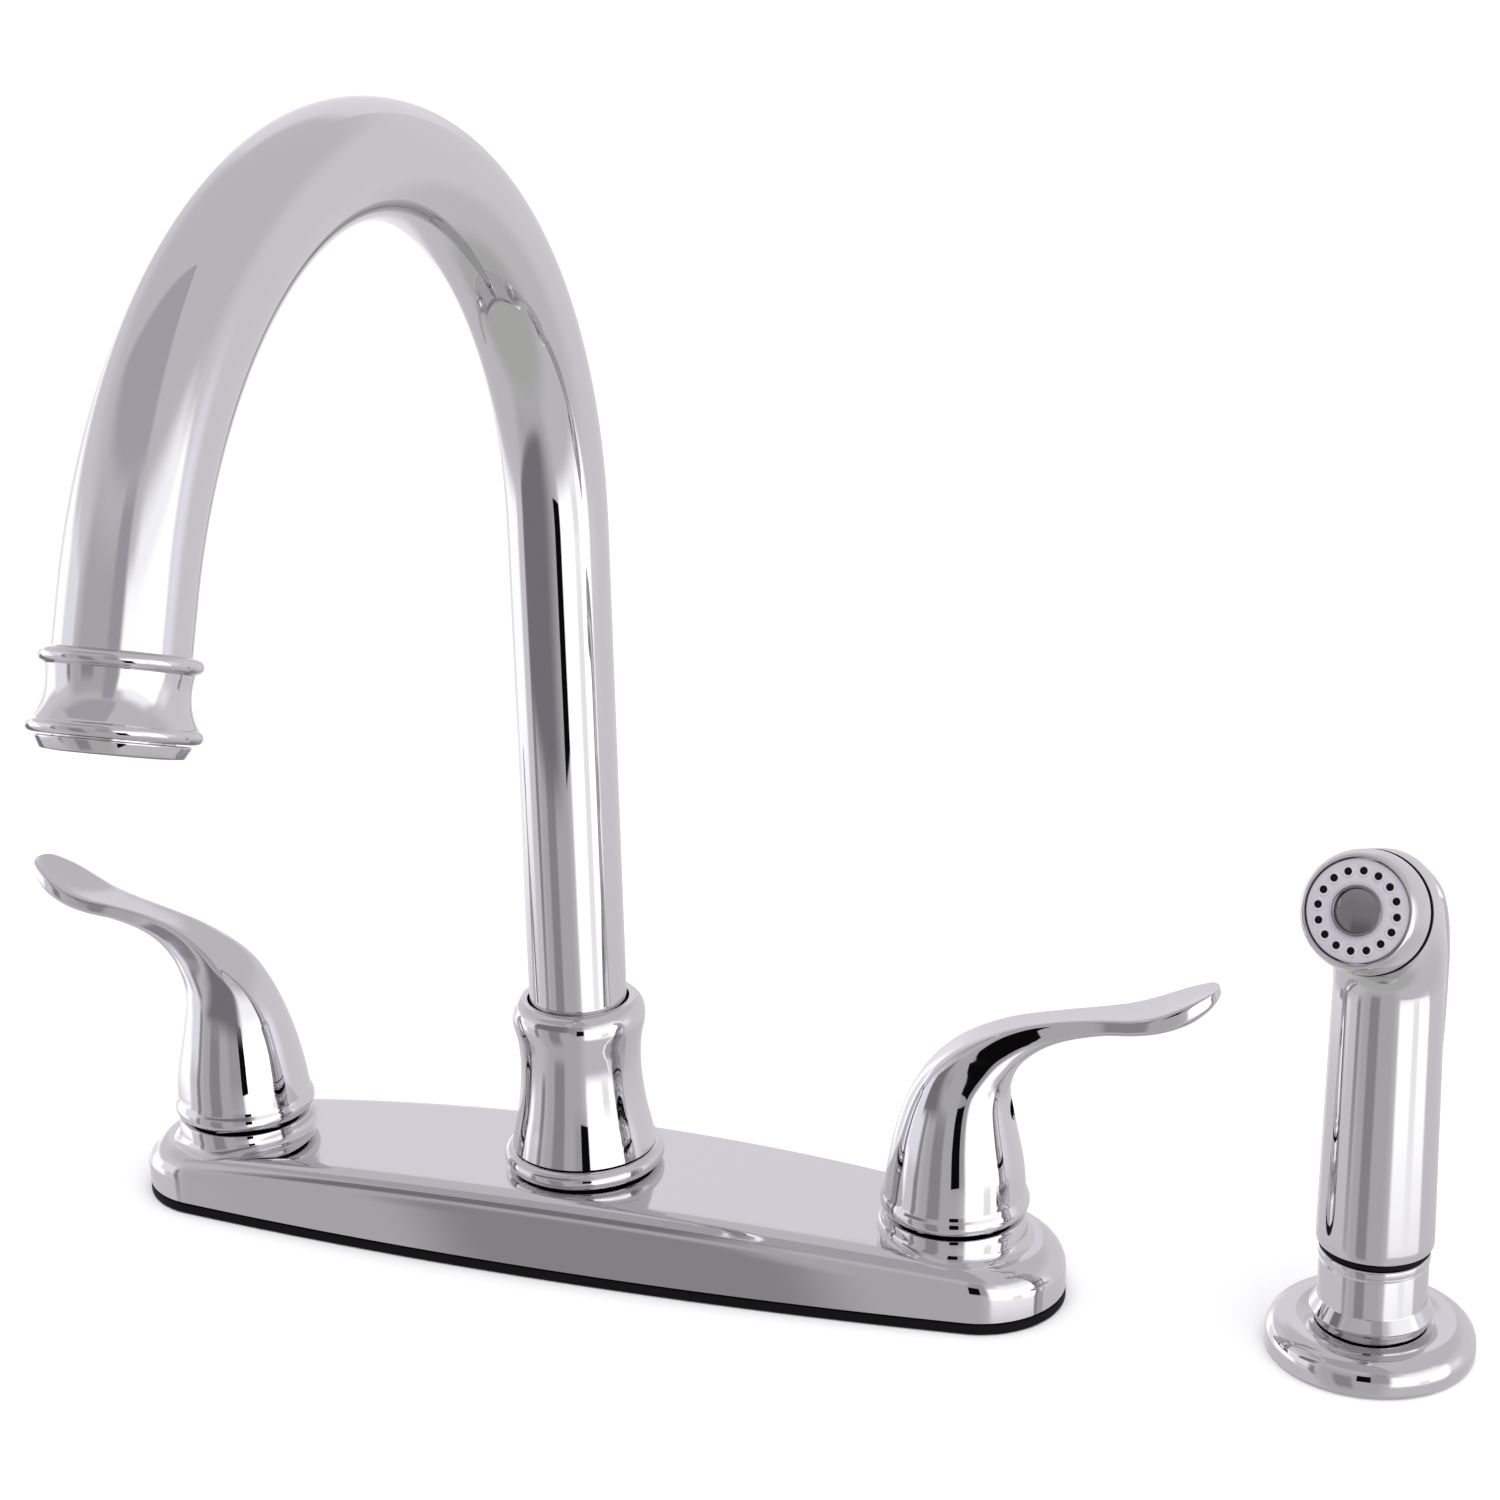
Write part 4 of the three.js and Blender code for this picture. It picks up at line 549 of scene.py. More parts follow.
def plate_outline(inset):
    """Half the outline, from the left tip over the back to the right tip."""
    end, side = END_RADIUS - inset, PLATE_HALF_WIDTH + side_centre - inset
    points = []
    for k in range(SIDE_STEPS):
        angle = pi / 2 + (side_turn - pi / 2) * k / SIDE_STEPS
        points.append((-end_x - end * sin(angle), end * cos(angle)))
    for k in range(SIDE_STEPS + 1):
        angle = side_turn * (k / SIDE_STEPS - 1)
        points.append((side * sin(angle), side * cos(angle) - side_centre))
    points[0] = (points[0][0], 0.0)
    return points + [(-x, y) for x, y in reversed(points[:-1])]


def plate_ring(inset, height_at):
    half = plate_outline(inset)
    whole = half + [(x, -y) for x, y in reversed(half[1:-1])]
    return [(x, y, height_at(x)) for x, y in whole]


def plate_lid(points, faces, inset, height_at, first, flip):
    """Fill the inside of a ring of points with a grid across the plate."""
    half = plate_outline(inset)
    count = 2 * len(half) - 2
    rows = []
    for i, (x, y) in enumerate(half):
        if i in (0, len(half) - 1):
            rows.append([first + i] * (LID_STEPS + 1))
            continue
        row = [first + i]
        for k in range(1, LID_STEPS):
            points.append((x, y * (1 - 2 * k / LID_STEPS), height_at(x)))
            row.append(len(points) - 1)
        rows.append(row + [first + (count - i) % count])
    for near, far in zip(rows, rows[1:]):
        for k in range(LID_STEPS):
            quad = [near[k], near[k + 1], far[k + 1], far[k]]
            quad = [v for n, v in enumerate(quad) if v not in quad[:n]]
            faces.append(tuple(quad if flip else reversed(quad)))


def rolled_edge(inset, top_at, radius, steps):
    rings = []
    for k in range(steps + 1):
        angle = pi / 2 * k / steps
        inward, drop = radius * (1 - cos(angle)), radius * (1 - sin(angle))
        rings.append((inset + inward, lambda x, d=drop: top_at(x) - d))
    return rings


def rolled_shell():
    outside = [(FOOT_SOFT, lambda x: PLATE_FOOT), (0, lambda x: PLATE_FOOT + FOOT_SOFT)]
    outside += rolled_edge(0, crown_at, EDGE_ROUND, 12)
    inside = [(WALL, lambda x: PLATE_FOOT)]
    inside += rolled_edge(WALL, lambda x: crown_at(x) - WALL, EDGE_ROUND - WALL, 4)
    points, faces, starts = [], [], []
    for inset, height_at in outside + inside:
        starts.append(len(points))
        points.extend(plate_ring(inset, height_at))
    count = starts[1]
    for i in range(len(outside) - 1):
        faces += band(starts[i + 1], starts[i], count)
    for i in range(len(outside), len(starts) - 1):
        faces += band(starts[i], starts[i + 1], count)
    faces += band(starts[0], starts[len(outside)], count)
    plate_lid(points, faces, *outside[-1], starts[len(outside) - 1], True)
    plate_lid(points, faces, *inside[-1], starts[-1], False)
    return outward(points, faces)


add_piece("deck_plate", rolled_shell(), "fixed_parts", chrome)

# %% [markdown]
# ## The bosses under the handles
# Each handle turns on a round boss that grows out of the plate. Where the boss meets the plate there is
# a small cove, which follows the crown and even the rolled edge. The foot of the boss is therefore laid
# on the plate's surface: for each direction, the surface's height under the cove is worked out.

# %% Bosses
BOSS_RADIUS = 18.3
BOSS_TOP = 22.9
BOSS_BORE, BOSS_BORE_FOOT = 13.5, 12
COVE, COVE_STEPS = 2.6, 6
FOOT_DIP, SKIN_DIP = 1.2, 0.02


def plate_height(x, y):
    """The height of the plate's upper surface at a place, with the rolled edge."""
    x, y = abs(x), abs(y)
    if atan2(x, y + side_centre) < side_turn:
        inset = PLATE_HALF_WIDTH + side_centre - hypot(x, y + side_centre)
    else:
        inset = END_RADIUS - hypot(x - end_x, y)
    fall = EDGE_ROUND - min(max(inset, 0), EDGE_ROUND)
    return crown_at(x) - EDGE_ROUND + sqrt(EDGE_ROUND ** 2 - fall ** 2)


def boss(centre_x):
    rings = []
    for step in range(COVE_STEPS + 1):
        angle = pi / 2 * step / COVE_STEPS
        rise = COVE * (1 - cos(angle)) - (SKIN_DIP if step else FOOT_DIP)
        rings.append([(x, y, plate_height(x, y) + rise)
                      for x, y, z in circle(BOSS_RADIUS + COVE * (1 - sin(angle)), 0, x=centre_x)])
    rings += [circle(radius, height, x=centre_x) for radius, height in (
        (BOSS_RADIUS, BOSS_TOP - 0.7), (BOSS_RADIUS - 0.2, BOSS_TOP - 0.2), (BOSS_RADIUS - 0.7, BOSS_TOP),
        (BOSS_BORE, BOSS_TOP), (BOSS_BORE, BOSS_BORE_FOOT))]
    return lofted(rings, lids=False)


for side, x in (("left", -HANDLE_X), ("right", HANDLE_X)):
    add_piece(f"handle_boss_{side}", boss(x), "fixed_parts", chrome, extra=True)

# %% [markdown]
# ## The gasket
# A thin black rubber gasket seals the plate to the sink. Only its edge shows, as the dark line that
# grounds the whole faucet, so it is a flat ring with the plate's own outline and slightly soft edges.

# %% Gasket
GASKET = 2.6
GASKET_RIM, GASKET_SOFT = 7.5, 0.3


def flat_ring():
    corners = ((GASKET_SOFT, 0.0), (0.0, GASKET_SOFT), (0.0, GASKET - GASKET_SOFT), (GASKET_SOFT, GASKET),
               (GASKET_RIM, GASKET), (GASKET_RIM, 0.0))
    return lofted([plate_ring(inset, lambda x, z=height: z) for inset, height in corners], lids=False)


add_piece("deck_gasket", flat_ring(), "fixed_parts", rubber)

# %% [markdown]
# ## The spout's base
# The spout rises out of a turned base: a bold ring on the plate, a thin dark joint, and a long hollow
# flare that ends in a rolled rim round the tube. The flare is a spline through a few radii, and the ring
# is a half round moulding. The tube turns in the rim, so a narrow black gap is left between them.

# %% Base ring and flare
RING_FOOT, RING_TOP = 22.4, 27.4
RING_RADIUS = 21.2
BASE_FOOT, BASE_TOP = 27.7, 69.2
TUBE_RADIUS = 12.7
TUBE_GAP = 0.4
flare = [(19.1, 28.0), (18.2, 32.2), (16.9, 38.5), (16.05, 45.5), (15.8, 51.8), (16.1, 56.6),
         (16.6, 59.6)]
rim = [(17.15, 61.9), (17.4, 63.9), (17.2, 66.1), (16.3, 67.9), (15.0, 68.9), (13.8, 69.2)]

ring_half = (RING_TOP - RING_FOOT) / 2
half_round = arc(RING_RADIUS - ring_half, RING_FOOT + ring_half, ring_half, ring_half, range(-84, 85, 8))
add_piece("spout_base_ring", turned([(12.8, RING_FOOT)] + half_round + [(12.8, RING_TOP)]),
          "fixed_parts", chrome)
inner = [(TUBE_RADIUS + TUBE_GAP + 0.25, BASE_TOP - 0.15), (TUBE_RADIUS + TUBE_GAP, BASE_TOP - 0.6),
         (TUBE_RADIUS + TUBE_GAP, 60.2), (14.6, 60.2), (14.6, BASE_FOOT)]
add_piece("spout_base", turned(inner + [(18.7, BASE_FOOT)] + through(flare, 6) + through(rim, 5)),
          "fixed_parts", chrome)

# %% [markdown]
# ## The gooseneck
# The spout is one drawn tube of an inch across, straight up out of its base and then bent round through
# 160 degrees. A curve object with a bevel would also make it, but a mesh of rings gives even, square
# facets, so that the soft boxes run round the bend without a ripple. The tube has its real wall.

# %% Gooseneck tube
TUBE_WALL = 1.3
TUBE_FOOT = 30.3
SPRING = 194.4
BEND_RADIUS = 100.9
BEND = radians(159.9)
STRAIGHT_END = 10
COLLAR_SOCKET = 6
LEG_STEPS, BEND_STEPS, TUBE_AROUND = 24, 150, 96


def on_gooseneck(onward, angle):
    """A place on the tube's middle line, some way onward from an angle of the bend, and its outside."""
    outwards = Vector((0, cos(angle), sin(angle)))
    along = Vector((0, -sin(angle), cos(angle)))
    return Vector((0, -BEND_RADIUS, SPRING)) + outwards * BEND_RADIUS + along * onward, outwards


def gooseneck():
    stops = [on_gooseneck((TUBE_FOOT - SPRING) * (1 - k / LEG_STEPS), 0) for k in range(LEG_STEPS)]
    stops += [on_gooseneck(0, BEND * k / BEND_STEPS) for k in range(BEND_STEPS + 1)]
    stops += [on_gooseneck(STRAIGHT_END * k / 2, BEND) for k in (1, 2)]
    stops.append(on_gooseneck(STRAIGHT_END + COLLAR_SOCKET, BEND))
    aside = Vector((1, 0, 0))
    rings = []
    for radius, run in ((TUBE_RADIUS, stops), (TUBE_RADIUS - TUBE_WALL, stops[::-1])):
        for middle, out in run:
            rings.append([middle + aside * x + out * y for x, y, z in circle(radius, 0, TUBE_AROUND)])
    return lofted(rings, lids=False)


add_piece("spout_tube", gooseneck(), "spout", chrome)

# %% [markdown]
# ## The tip of the spout
# A waisted collar finishes the tube: a bead above, a neck that flares out, and a fuller bead below.
# Under it sits the aerator, a short tapered ring with a white nylon insert full of small holes that
# mixes air into the water. All of it is turned about the tube's own axis at its end.

# %% Collar and aerator
end_point, end_out = on_gooseneck(STRAIGHT_END, BEND)
end_along = Vector((0, -sin(BEND), cos(BEND)))
tip_place = Matrix((Vector((1, 0, 0)), end_along.cross(Vector((1, 0, 0))), end_along)).transposed().to_4x4()
tip_place.translation = end_point
COLLAR = 15.7
BORE = TUBE_RADIUS - TUBE_WALL


def bead(middle, radius, half, first=-75, last=75):
    return arc(radius - half, middle, half, half, range(first, last + 1, 10))


neck = through([(13.4, 3.2), (13.15, 5.2), (13.1, 7.0), (13.35, 9.0), (14.0, 11.1), (14.85, 12.7)], 5)
collar = ([(13.0, 0.0), (13.5, 0.0)] + bead(1.55, 14.9, 1.35) + neck
          + bead(COLLAR - 1.4, 15.9, 1.3, -65, 80)
          + [(14.3, COLLAR), (BORE, COLLAR), (BORE, COLLAR_SOCKET + 0.3), (13.0, COLLAR_SOCKET + 0.3)])
add_piece("tip_collar", turned(collar), "spout", chrome, tip_place)

AERATOR_BORE = 9.6
below = COLLAR + 0.3
housing = rounded([(AERATOR_BORE, below - 7, 0), (BORE - 0.3, below - 7, 0), (BORE - 0.3, below, 0),
                   (14.2, below, 0.3), (12.85, below + 2.4, 0.5), (10.5, below + 2.7, 0.4),
                   (AERATOR_BORE, below + 1.9, 0.3)])
add_piece("aerator_housing", turned(housing), "spout", chrome, tip_place)


def with_rims(skin, centres, profile, around):
    """Add a small ring of the given profile round each of the centres."""
    points, faces = list(skin[0]), list(skin[1])
    for x, y in centres:
        first = len(points)
        for r, z in profile:
            points += circle(r, z, around, x, y)
        for i in range(len(profile)):
            faces += band(first + i * around, first + (i + 1) % len(profile) * around, around)
    return points, faces


def honeycomb(radius, top, foot, pitch, hole):
    """A thick disc whose lower face carries rows of small round wells."""
    disc = turned([(0, top), (radius, top), (radius, foot), (0, foot)], 48)
    rows = int(radius / pitch)
    centres = [(pitch * (i + 0.5 * (j % 2)), pitch * 0.866 * j)
               for j in range(-rows, rows + 1) for i in range(-rows, rows + 1)]
    centres = [(x, y) for x, y in centres if hypot(x, y) <= radius - hole - 0.3]
    rim = ((hole + 0.22, foot), (hole + 0.22, foot + 0.35), (hole, foot + 0.35), (hole, foot))
    return with_rims(disc, centres, rim, 8)


add_piece("aerator_insert", honeycomb(AERATOR_BORE - 0.3, COLLAR - 4, COLLAR + 1.2, 2.0, 0.62), "spout",
          nylon, tip_place)

# %% [markdown]
# ## The lever handles
# The handles are the most sculptural parts. Each grows from a round skirt, narrows like a bell, leans
# over and runs out into a slim lever that widens again to a leaf shaped paddle. It is a loft: sixteen
# stations give the back edge, the belly edge, the half width and how flat the back is, and splines
# between them give the skin. In the bell a section is round; along the lever the back turns flat, even
# slightly dished, with a crisp edge on each side, while the belly stays round. A hole is drilled into
# each bell for the set screw that holds it on its stem.

# %% Lever handles
SKIRT_FOOT, SKIRT_DEEP, SKIRT_BORE = 24.0, 33.0, 15.4  # the hollow under the bell
# back edge (along, up), belly edge (along, up), half width, how flat the back is
lever_stations = [
    (-17.9, 30.2, 18.0, 30.2, 18.0, 0),
    (-16.7, 37.5, 17.3, 37.5, 17.1, 0),
    (-14.7, 46.3, 15.6, 46.3, 15.2, 0),
    (-11.6, 55.0, 14.1, 54.6, 12.7, 0.05),
    (-7.4, 61.9, 14.2, 58.8, 10.4, 0.2),
    (-1.8, 67.2, 15.9, 63.4, 8.6, 0.45),
    (5.2, 71.6, 18.8, 66.9, 6.7, 0.7),
    (14.5, 75.4, 23.6, 70.1, 5.1, 0.9),
    (25.5, 77.8, 29.8, 72.4, 4.4, 1),
    (36.5, 79.3, 37.6, 74.2, 5.1, 1),
    (44.0, 80.3, 44.6, 75.0, 6.4, 1),
    (50.2, 82.1, 51.2, 76.4, 7.2, 1),
    (56.2, 84.7, 57.6, 78.9, 6.8, 1),
    (60.8, 86.8, 62.0, 82.0, 5.2, 1),
    (63.2, 87.8, 64.0, 84.4, 3.7, 1),
    (64.4, 88.1, 65.0, 86.2, 1.5, 1),
]
LEVER_AROUND, LEVER_CREASE = 96, 50
PER_STATION = 10
CRISP = 9  # how square the paddle's back is; 2 would be an ellipse
BELLY = 0.7  # the same for the paddle's belly
DISH = 0.35


def lever_ring(back, belly, half_width, flat):
    middle = (Vector(back) + Vector(belly)) / 2
    rise = Vector(back) - middle
    power = 2 + (CRISP - 2) * flat ** 1.5
    ring = []
    for k in range(LEVER_AROUND):
        angle = 2 * pi * k / LEVER_AROUND
        c, s = cos(angle), sin(angle)
        exponent = 2 / (power if c > 0 else 2 + BELLY * flat)
        along = abs(c) ** exponent * (1 if c > 0 else -1)
        across = abs(s) ** exponent * (1 if s > 0 else -1)
        if c > 0:
            along -= DISH * flat * (1 - across ** 2) / max(rise.length, 1)
        ring.append((middle.x + rise.x * along, half_width * across, middle.y + rise.y * along))
    return ring


def lever_skin():
    skirt = through([(17.0, 24.0), (18.3, 24.35), (18.9, 25.3), (19.0, 26.2), (18.75, 27.4), (18.2, 28.5),
                     (18.0, 29.4)], 3)
    rings = [lever_ring((-r, z), (r, z), r, 0) for r, z in skirt]
    for a, b, c, d, half, flat in through(lever_stations, PER_STATION)[1:]:
        rings.append(lever_ring((a, b), (c, d), half, min(1, max(0, flat))))
    hollow = [[(-x, y, z) for x, y, z in circle(SKIRT_BORE, height, LEVER_AROUND)]
              for height in (SKIRT_DEEP, SKIRT_FOOT)]
    return lofted(hollow + rings)


def drilled(piece, radius, length, place):
    """Cut a round hole along the place's own Z axis out of a finished piece."""
    cutter = new_object("drill", *turned([(0, 0), (radius, 0), (radius, length), (0, length)], 48), place)
    cut = piece.modifiers.new("hole", "BOOLEAN")
    cut.operation, cut.solver, cut.object = "DIFFERENCE", "EXACT", cutter
    bpy.context.view_layer.update()
    with_hole = bpy.data.meshes.new_from_object(piece.evaluated_get(bpy.context.evaluated_depsgraph_get()))
    piece.modifiers.clear()
    piece.data = with_hole
    with_hole.set_sharp_from_angle(angle=radians(LEVER_CREASE))
    bpy.data.objects.remove(cutter)
    print(piece.name, "has", len(with_hole.polygons), "faces with its hole")


REST_TURNS = {"left": 180 - 7.2, "right": 7.8}
SCREW_HEIGHT, SCREW_START = 51.5, 4.3
SCREW_HOLE, SCREW_HOLE_DEPTH = 2.7, 20


def set_screw():
    body = rounded([(0, 0, 0), (2.3, 0, 0), (2.3, 7, 0.25), (1.3, 7, 0.1), (1.3, 4.6, 0), (0, 4.2, 0)], 3)
    return turned([(0, 0)] + body[1:-1] + [(0, 4.2)], 48)


lever = lever_skin()
for side, x in (("left", -HANDLE_X), ("right", HANDLE_X)):
    place = Matrix.Translation((x, 0, 0)) @ Matrix.Rotation(radians(REST_TURNS[side]), 4, "Z")
    hole = place @ Matrix.Translation((SCREW_START, 0, SCREW_HEIGHT)) @ Matrix.Rotation(pi / 2, 4, "Y")
    handle = add_piece(f"handle_{side}", lever, f"{side}_handle", cast_chrome, place,
                       LEVER_CREASE)
    drilled(handle, SCREW_HOLE, SCREW_HOLE_DEPTH, hole)
    add_piece(f"handle_screw_{side}", set_screw(), f"{side}_handle", brass, hole)

# %% [markdown]
# ## The spray's holder
# The side spray stands in its own hole at the right. A domed flange covers the hole and a turned sleeve
# stands in it: a conical ring, a smooth collar and a fine lip, and on the lip a black ring that the wand
# rests on. All of them share the wand's axis, a little behind the middle line of the faucet.

# %% Flange and holder
SPRAY_AT = (206.4, 1.9)
SPRAY_TURN = -10.6
spray_place = Matrix.Translation((*SPRAY_AT, 0)) @ Matrix.Rotation(radians(SPRAY_TURN), 4, "Z")
FLANGE_RADIUS = 25.4
FLANGE_HEIGHT, FLANGE_ROUND, FLANGE_SEAT = 8.7, 5.2, 8.0
dome = arc(FLANGE_RADIUS - FLANGE_ROUND, FLANGE_HEIGHT - FLANGE_ROUND, FLANGE_ROUND, FLANGE_ROUND,
           range(0, 91, 5))
hollow = through([dome[-1], (18.2, 8.65), (16.2, 8.3), (15.0, FLANGE_SEAT)], 4)[1:]
flange = ([(22.4, 0.0), (24.5, 0.0), (25.05, 0.3), (25.35, 0.9)] + dome + hollow
          + [(13.1, FLANGE_SEAT), (13.1, 6.0), (20.2, 6.0), (22.4, 1.6)])
add_piece("spray_flange", turned(flange), "fixed_parts", chrome, spray_place)

HOLDER_BORE = 10.6
holder = rounded([
    (HOLDER_BORE, -42, 0), (12.8, -42, 0.4), (12.8, 8.3, 0), (13.8, 8.3, 0.2), (15.05, 11.0, 0.3),
    (15.1, 11.4, 0.15), (13.25, 14.4, 0.4), (13.15, 24.3, 0.2), (12.8, 24.75, 0.1), (12.8, 25.1, 0.1),
    (13.4, 25.4, 0.3), (13.4, 27.0, 0.4), (12.9, 27.4, 0.2), (HOLDER_BORE + 0.4, 27.4, 0.3),
    (HOLDER_BORE, 26.8, 0.2)])
add_piece("spray_holder", turned(holder), "fixed_parts", chrome, spray_place)
seat = rounded([(10.5, 27.7, 0.1), (13.4, 27.7, 0.3), (13.4, 29.0, 0.3), (10.5, 29.0, 0.1)], 3)
add_piece("wand_seat_ring", turned(seat), "fixed_parts", rubber, spray_place)

# %% [markdown]
# ## The wand
# The wand is a slim handle that bends over into the spray head. Its spine is a straight line and one arc,
# and its radius changes slowly along it. On the back a shallow pocket lets the trigger sink in, so the
# radius also depends on the direction round the spine there. The pocket is wider than the trigger,
# which keeps clear of its walls when it is pressed. Inside, a narrow bore leads the water up.

# %% Wand
WAND_FOOT = 29.3
WATER_RADIUS, MOUTH_RADIUS, MOUTH_DEPTH = 5.5, 10.5, 7.5
WAND_FOOT_RADIUS, WAND_WAIST_RADIUS, WAND_HEAD_RADIUS = 14.2, 12.9, 14.1
TAIL_RADIUS, TAIL_FOOT = 10.2, 5.3
ELBOW_HEIGHT, ELBOW_RADIUS = 97.8, 23.6
ELBOW = 90 - 21.8
TRIGGER_FOOT, TRIGGER_ELBOW, TRIGGER_HALF = 68, 54, 50
POCKET_DEPTH, POCKET_MARGIN, POCKET_WALL = 2.2, 11, 3  # mm, then degrees round the spine
HEEL_RISE, HEEL_START = 2.4, 34  # the corner at the back of the head
HEAD_LENGTH, HEAD_BEVEL = 3, 0.4  # past the elbow
elbow_reach = ELBOW_RADIUS * tan(radians(ELBOW / 2))
HEAD_END = elbow_reach + HEAD_LENGTH
NOZZLE_HEIGHT = ELBOW_HEIGHT + elbow_reach


def on_spine(bend, height, radius, angle):
    """A place on or off the spine; the angle goes round it from the back."""
    lean = radians(bend)
    back = Vector((0, cos(lean), sin(lean)))
    middle = Vector((0, -ELBOW_RADIUS * (1 - cos(lean)), height + ELBOW_RADIUS * sin(lean)))
    return middle + back * (radius * cos(angle)) + Vector((radius * sin(angle), 0, 0))


def wand_radius(bend, height):
    if bend > 0:
        return WAND_WAIST_RADIUS + (WAND_HEAD_RADIUS - WAND_WAIST_RADIUS) * bend / ELBOW
    share = (height - WAND_FOOT) / (ELBOW_HEIGHT - WAND_FOOT)
    return WAND_FOOT_RADIUS + (WAND_WAIST_RADIUS - WAND_FOOT_RADIUS) * share


def spine_ring(bend, height, radius):
    return [on_spine(bend, height, radius, 2 * pi * k / AROUND) for k in range(AROUND)]


def fade(value, start, end):
    t = min(1, max(0, (value - start) / (end - start)))
    return t * t * (3 - 2 * t)


def wand_ring(bend, height):
    base = wand_radius(bend, height)
    heel = HEEL_RISE * sin(pi * min(1, max(0, (bend - HEEL_START) / (ELBOW - HEEL_START))))
    along = fade(height, TRIGGER_FOOT - 2.2, TRIGGER_FOOT - 1.0)
    along *= 1 - fade(bend, TRIGGER_ELBOW + 0.8, TRIGGER_ELBOW + 3)
    edge = TRIGGER_HALF + POCKET_MARGIN
    ring = []
    for k in range(AROUND):
        angle = 2 * pi * k / AROUND
        off = degrees(min(angle, 2 * pi - angle))
        sink = along * (1 - fade(off, edge - POCKET_WALL, edge))
        corner = heel * max(0, cos(angle)) ** 2
        ring.append(on_spine(bend, height, base + corner * (1 - sink) - POCKET_DEPTH * sink, angle))
    return ring


def wand_skin():
    rings = [spine_ring(0, height, radius) for radius, height in (
        (WATER_RADIUS, TAIL_FOOT), (TAIL_RADIUS, TAIL_FOOT), (TAIL_RADIUS, WAND_FOOT), (13.5, WAND_FOOT),
        (13.95, WAND_FOOT + 0.25), (14.15, WAND_FOOT + 0.8))]
    low = TRIGGER_FOOT - 2.4  # finer steps from here, across the pocket's lower wall
    heights = [32 + (low - 32) * k / 14 for k in range(14)] + [low + 0.25 * k for k in range(8)]
    heights += [TRIGGER_FOOT + (ELBOW_HEIGHT - TRIGGER_FOOT) * k / 14 for k in range(1, 14)]
    rings += [wand_ring(0, h) for h in heights]
    rings += [wand_ring(ELBOW * k / 56, ELBOW_HEIGHT) for k in range(57)]
    onward = Vector((0, -sin(radians(ELBOW)), cos(radians(ELBOW))))
    for radius, ahead in ((WAND_HEAD_RADIUS, HEAD_LENGTH - HEAD_BEVEL),
                          (WAND_HEAD_RADIUS - HEAD_BEVEL, HEAD_LENGTH), (MOUTH_RADIUS, HEAD_LENGTH),
                          (MOUTH_RADIUS, HEAD_LENGTH - MOUTH_DEPTH)):
        rings.append([p + onward * ahead for p in spine_ring(ELBOW, ELBOW_HEIGHT, radius)])
    rings.append(spine_ring(0, 60, WATER_RADIUS))
    return lofted(rings, lids=False)


add_piece("wand_body", wand_skin(), "wand", cast_chrome, spray_place)

# %% [markdown]
# ## The trigger
# A long curved lever lies over the wand's back, from half way up to the top of the head. The thumb
# presses its lower part into the pocket, and it tilts about a pin hidden near its top. It is a saddle:
# each section is an arc round the wand's spine with rounded edges. Its outside swells out between its
# two ends, where it gets thinner and narrower.

# %% Trigger
swell = [14.6, 17.0, 17.9, 17.9, 17.5, 16.4]
TRIGGER_THICKNESS = 2.2
TRIGGER_EDGE, TRIGGER_RIM = 0.8, 1.2  # how far the long edges stand out, and how thick they are
straight_part = ELBOW_HEIGHT - TRIGGER_FOOT
round_part = (ELBOW_RADIUS + WAND_WAIST_RADIUS) * radians(TRIGGER_ELBOW)
STRAIGHT_SHARE = straight_part / (straight_part + round_part)
TRIGGER_STEPS, SECTION_STEPS = 64, 24
swell_run = through([(r,) for r in swell], 40)


def trigger_section(along):
    bend = TRIGGER_ELBOW * max(0, (along - STRAIGHT_SHARE) / (1 - STRAIGHT_SHARE))
    height = TRIGGER_FOOT + straight_part * min(1, along / STRAIGHT_SHARE)
    outside = swell_run[round(along * (len(swell_run) - 1))][0]
    ends = min(1, sqrt(max(0, along) * 14) * 0.6 + 0.4, sqrt(max(0, 1 - along) * 14) * 0.6 + 0.4)
    inside = outside - TRIGGER_THICKNESS * min(1, 0.4 + along * 4, 0.4 + (1 - along) * 4)
    half = radians(TRIGGER_HALF) * min(1, 0.75 + along * 3, 0.6 + (1 - along) * 3)
    half *= 0.72 + 0.28 * ends
    rim = wand_radius(bend, height) + TRIGGER_EDGE
    ring = []
    for low, high, turn in ((rim, outside, 1), (rim - TRIGGER_RIM, inside, -1)):
        for k in range(SECTION_STEPS + 1):
            share = sin(pi * (k / SECTION_STEPS - 0.5)) * turn
            crown = sqrt(1 - share ** 2)
            ring.append(on_spine(bend, height, low + (high - low) * crown, share * half))
    return ring


add_piece("trigger", lofted([trigger_section(k / TRIGGER_STEPS) for k in range(TRIGGER_STEPS + 1)]),
          "trigger", cast_chrome, spray_place)

# %% [markdown]
# ## The nozzle
# The nozzle screws onto the head in front of a thin black seal. It is a shallow bowl whose rim holds the
# grey face with its circle of sixteen jets. Each jet is a small dark well in a raised ring, and in the
# middle sits a chrome button, slightly coned inside a proud rim, darkened with painted shade.

# %% Nozzle ring, face and button
nozzle_place = (spray_place @ Matrix.Translation((0, 0, NOZZLE_HEIGHT))
                @ Matrix.Rotation(radians(ELBOW), 4, "X"))
SEAL_BACK, SEAL_FRONT, SEAL_RADIUS = HEAD_END + 0.1, HEAD_END + 1.1, 14.55
NOZZLE_BACK = HEAD_END + 1.3
NOZZLE_LENGTH = 10.2
NOZZLE_FRONT = NOZZLE_BACK + NOZZLE_LENGTH
NOZZLE_RADIUS, NOZZLE_RIM = 14.4, 12.3
FACE_RADIUS = 11.8
FACE_FRONT = NOZZLE_FRONT - 0.9
FACE_THICK = 3.0
JETS, JET_CIRCLE, JET_RADIUS = 16, 9.1, 0.92
BUTTON = 5.6

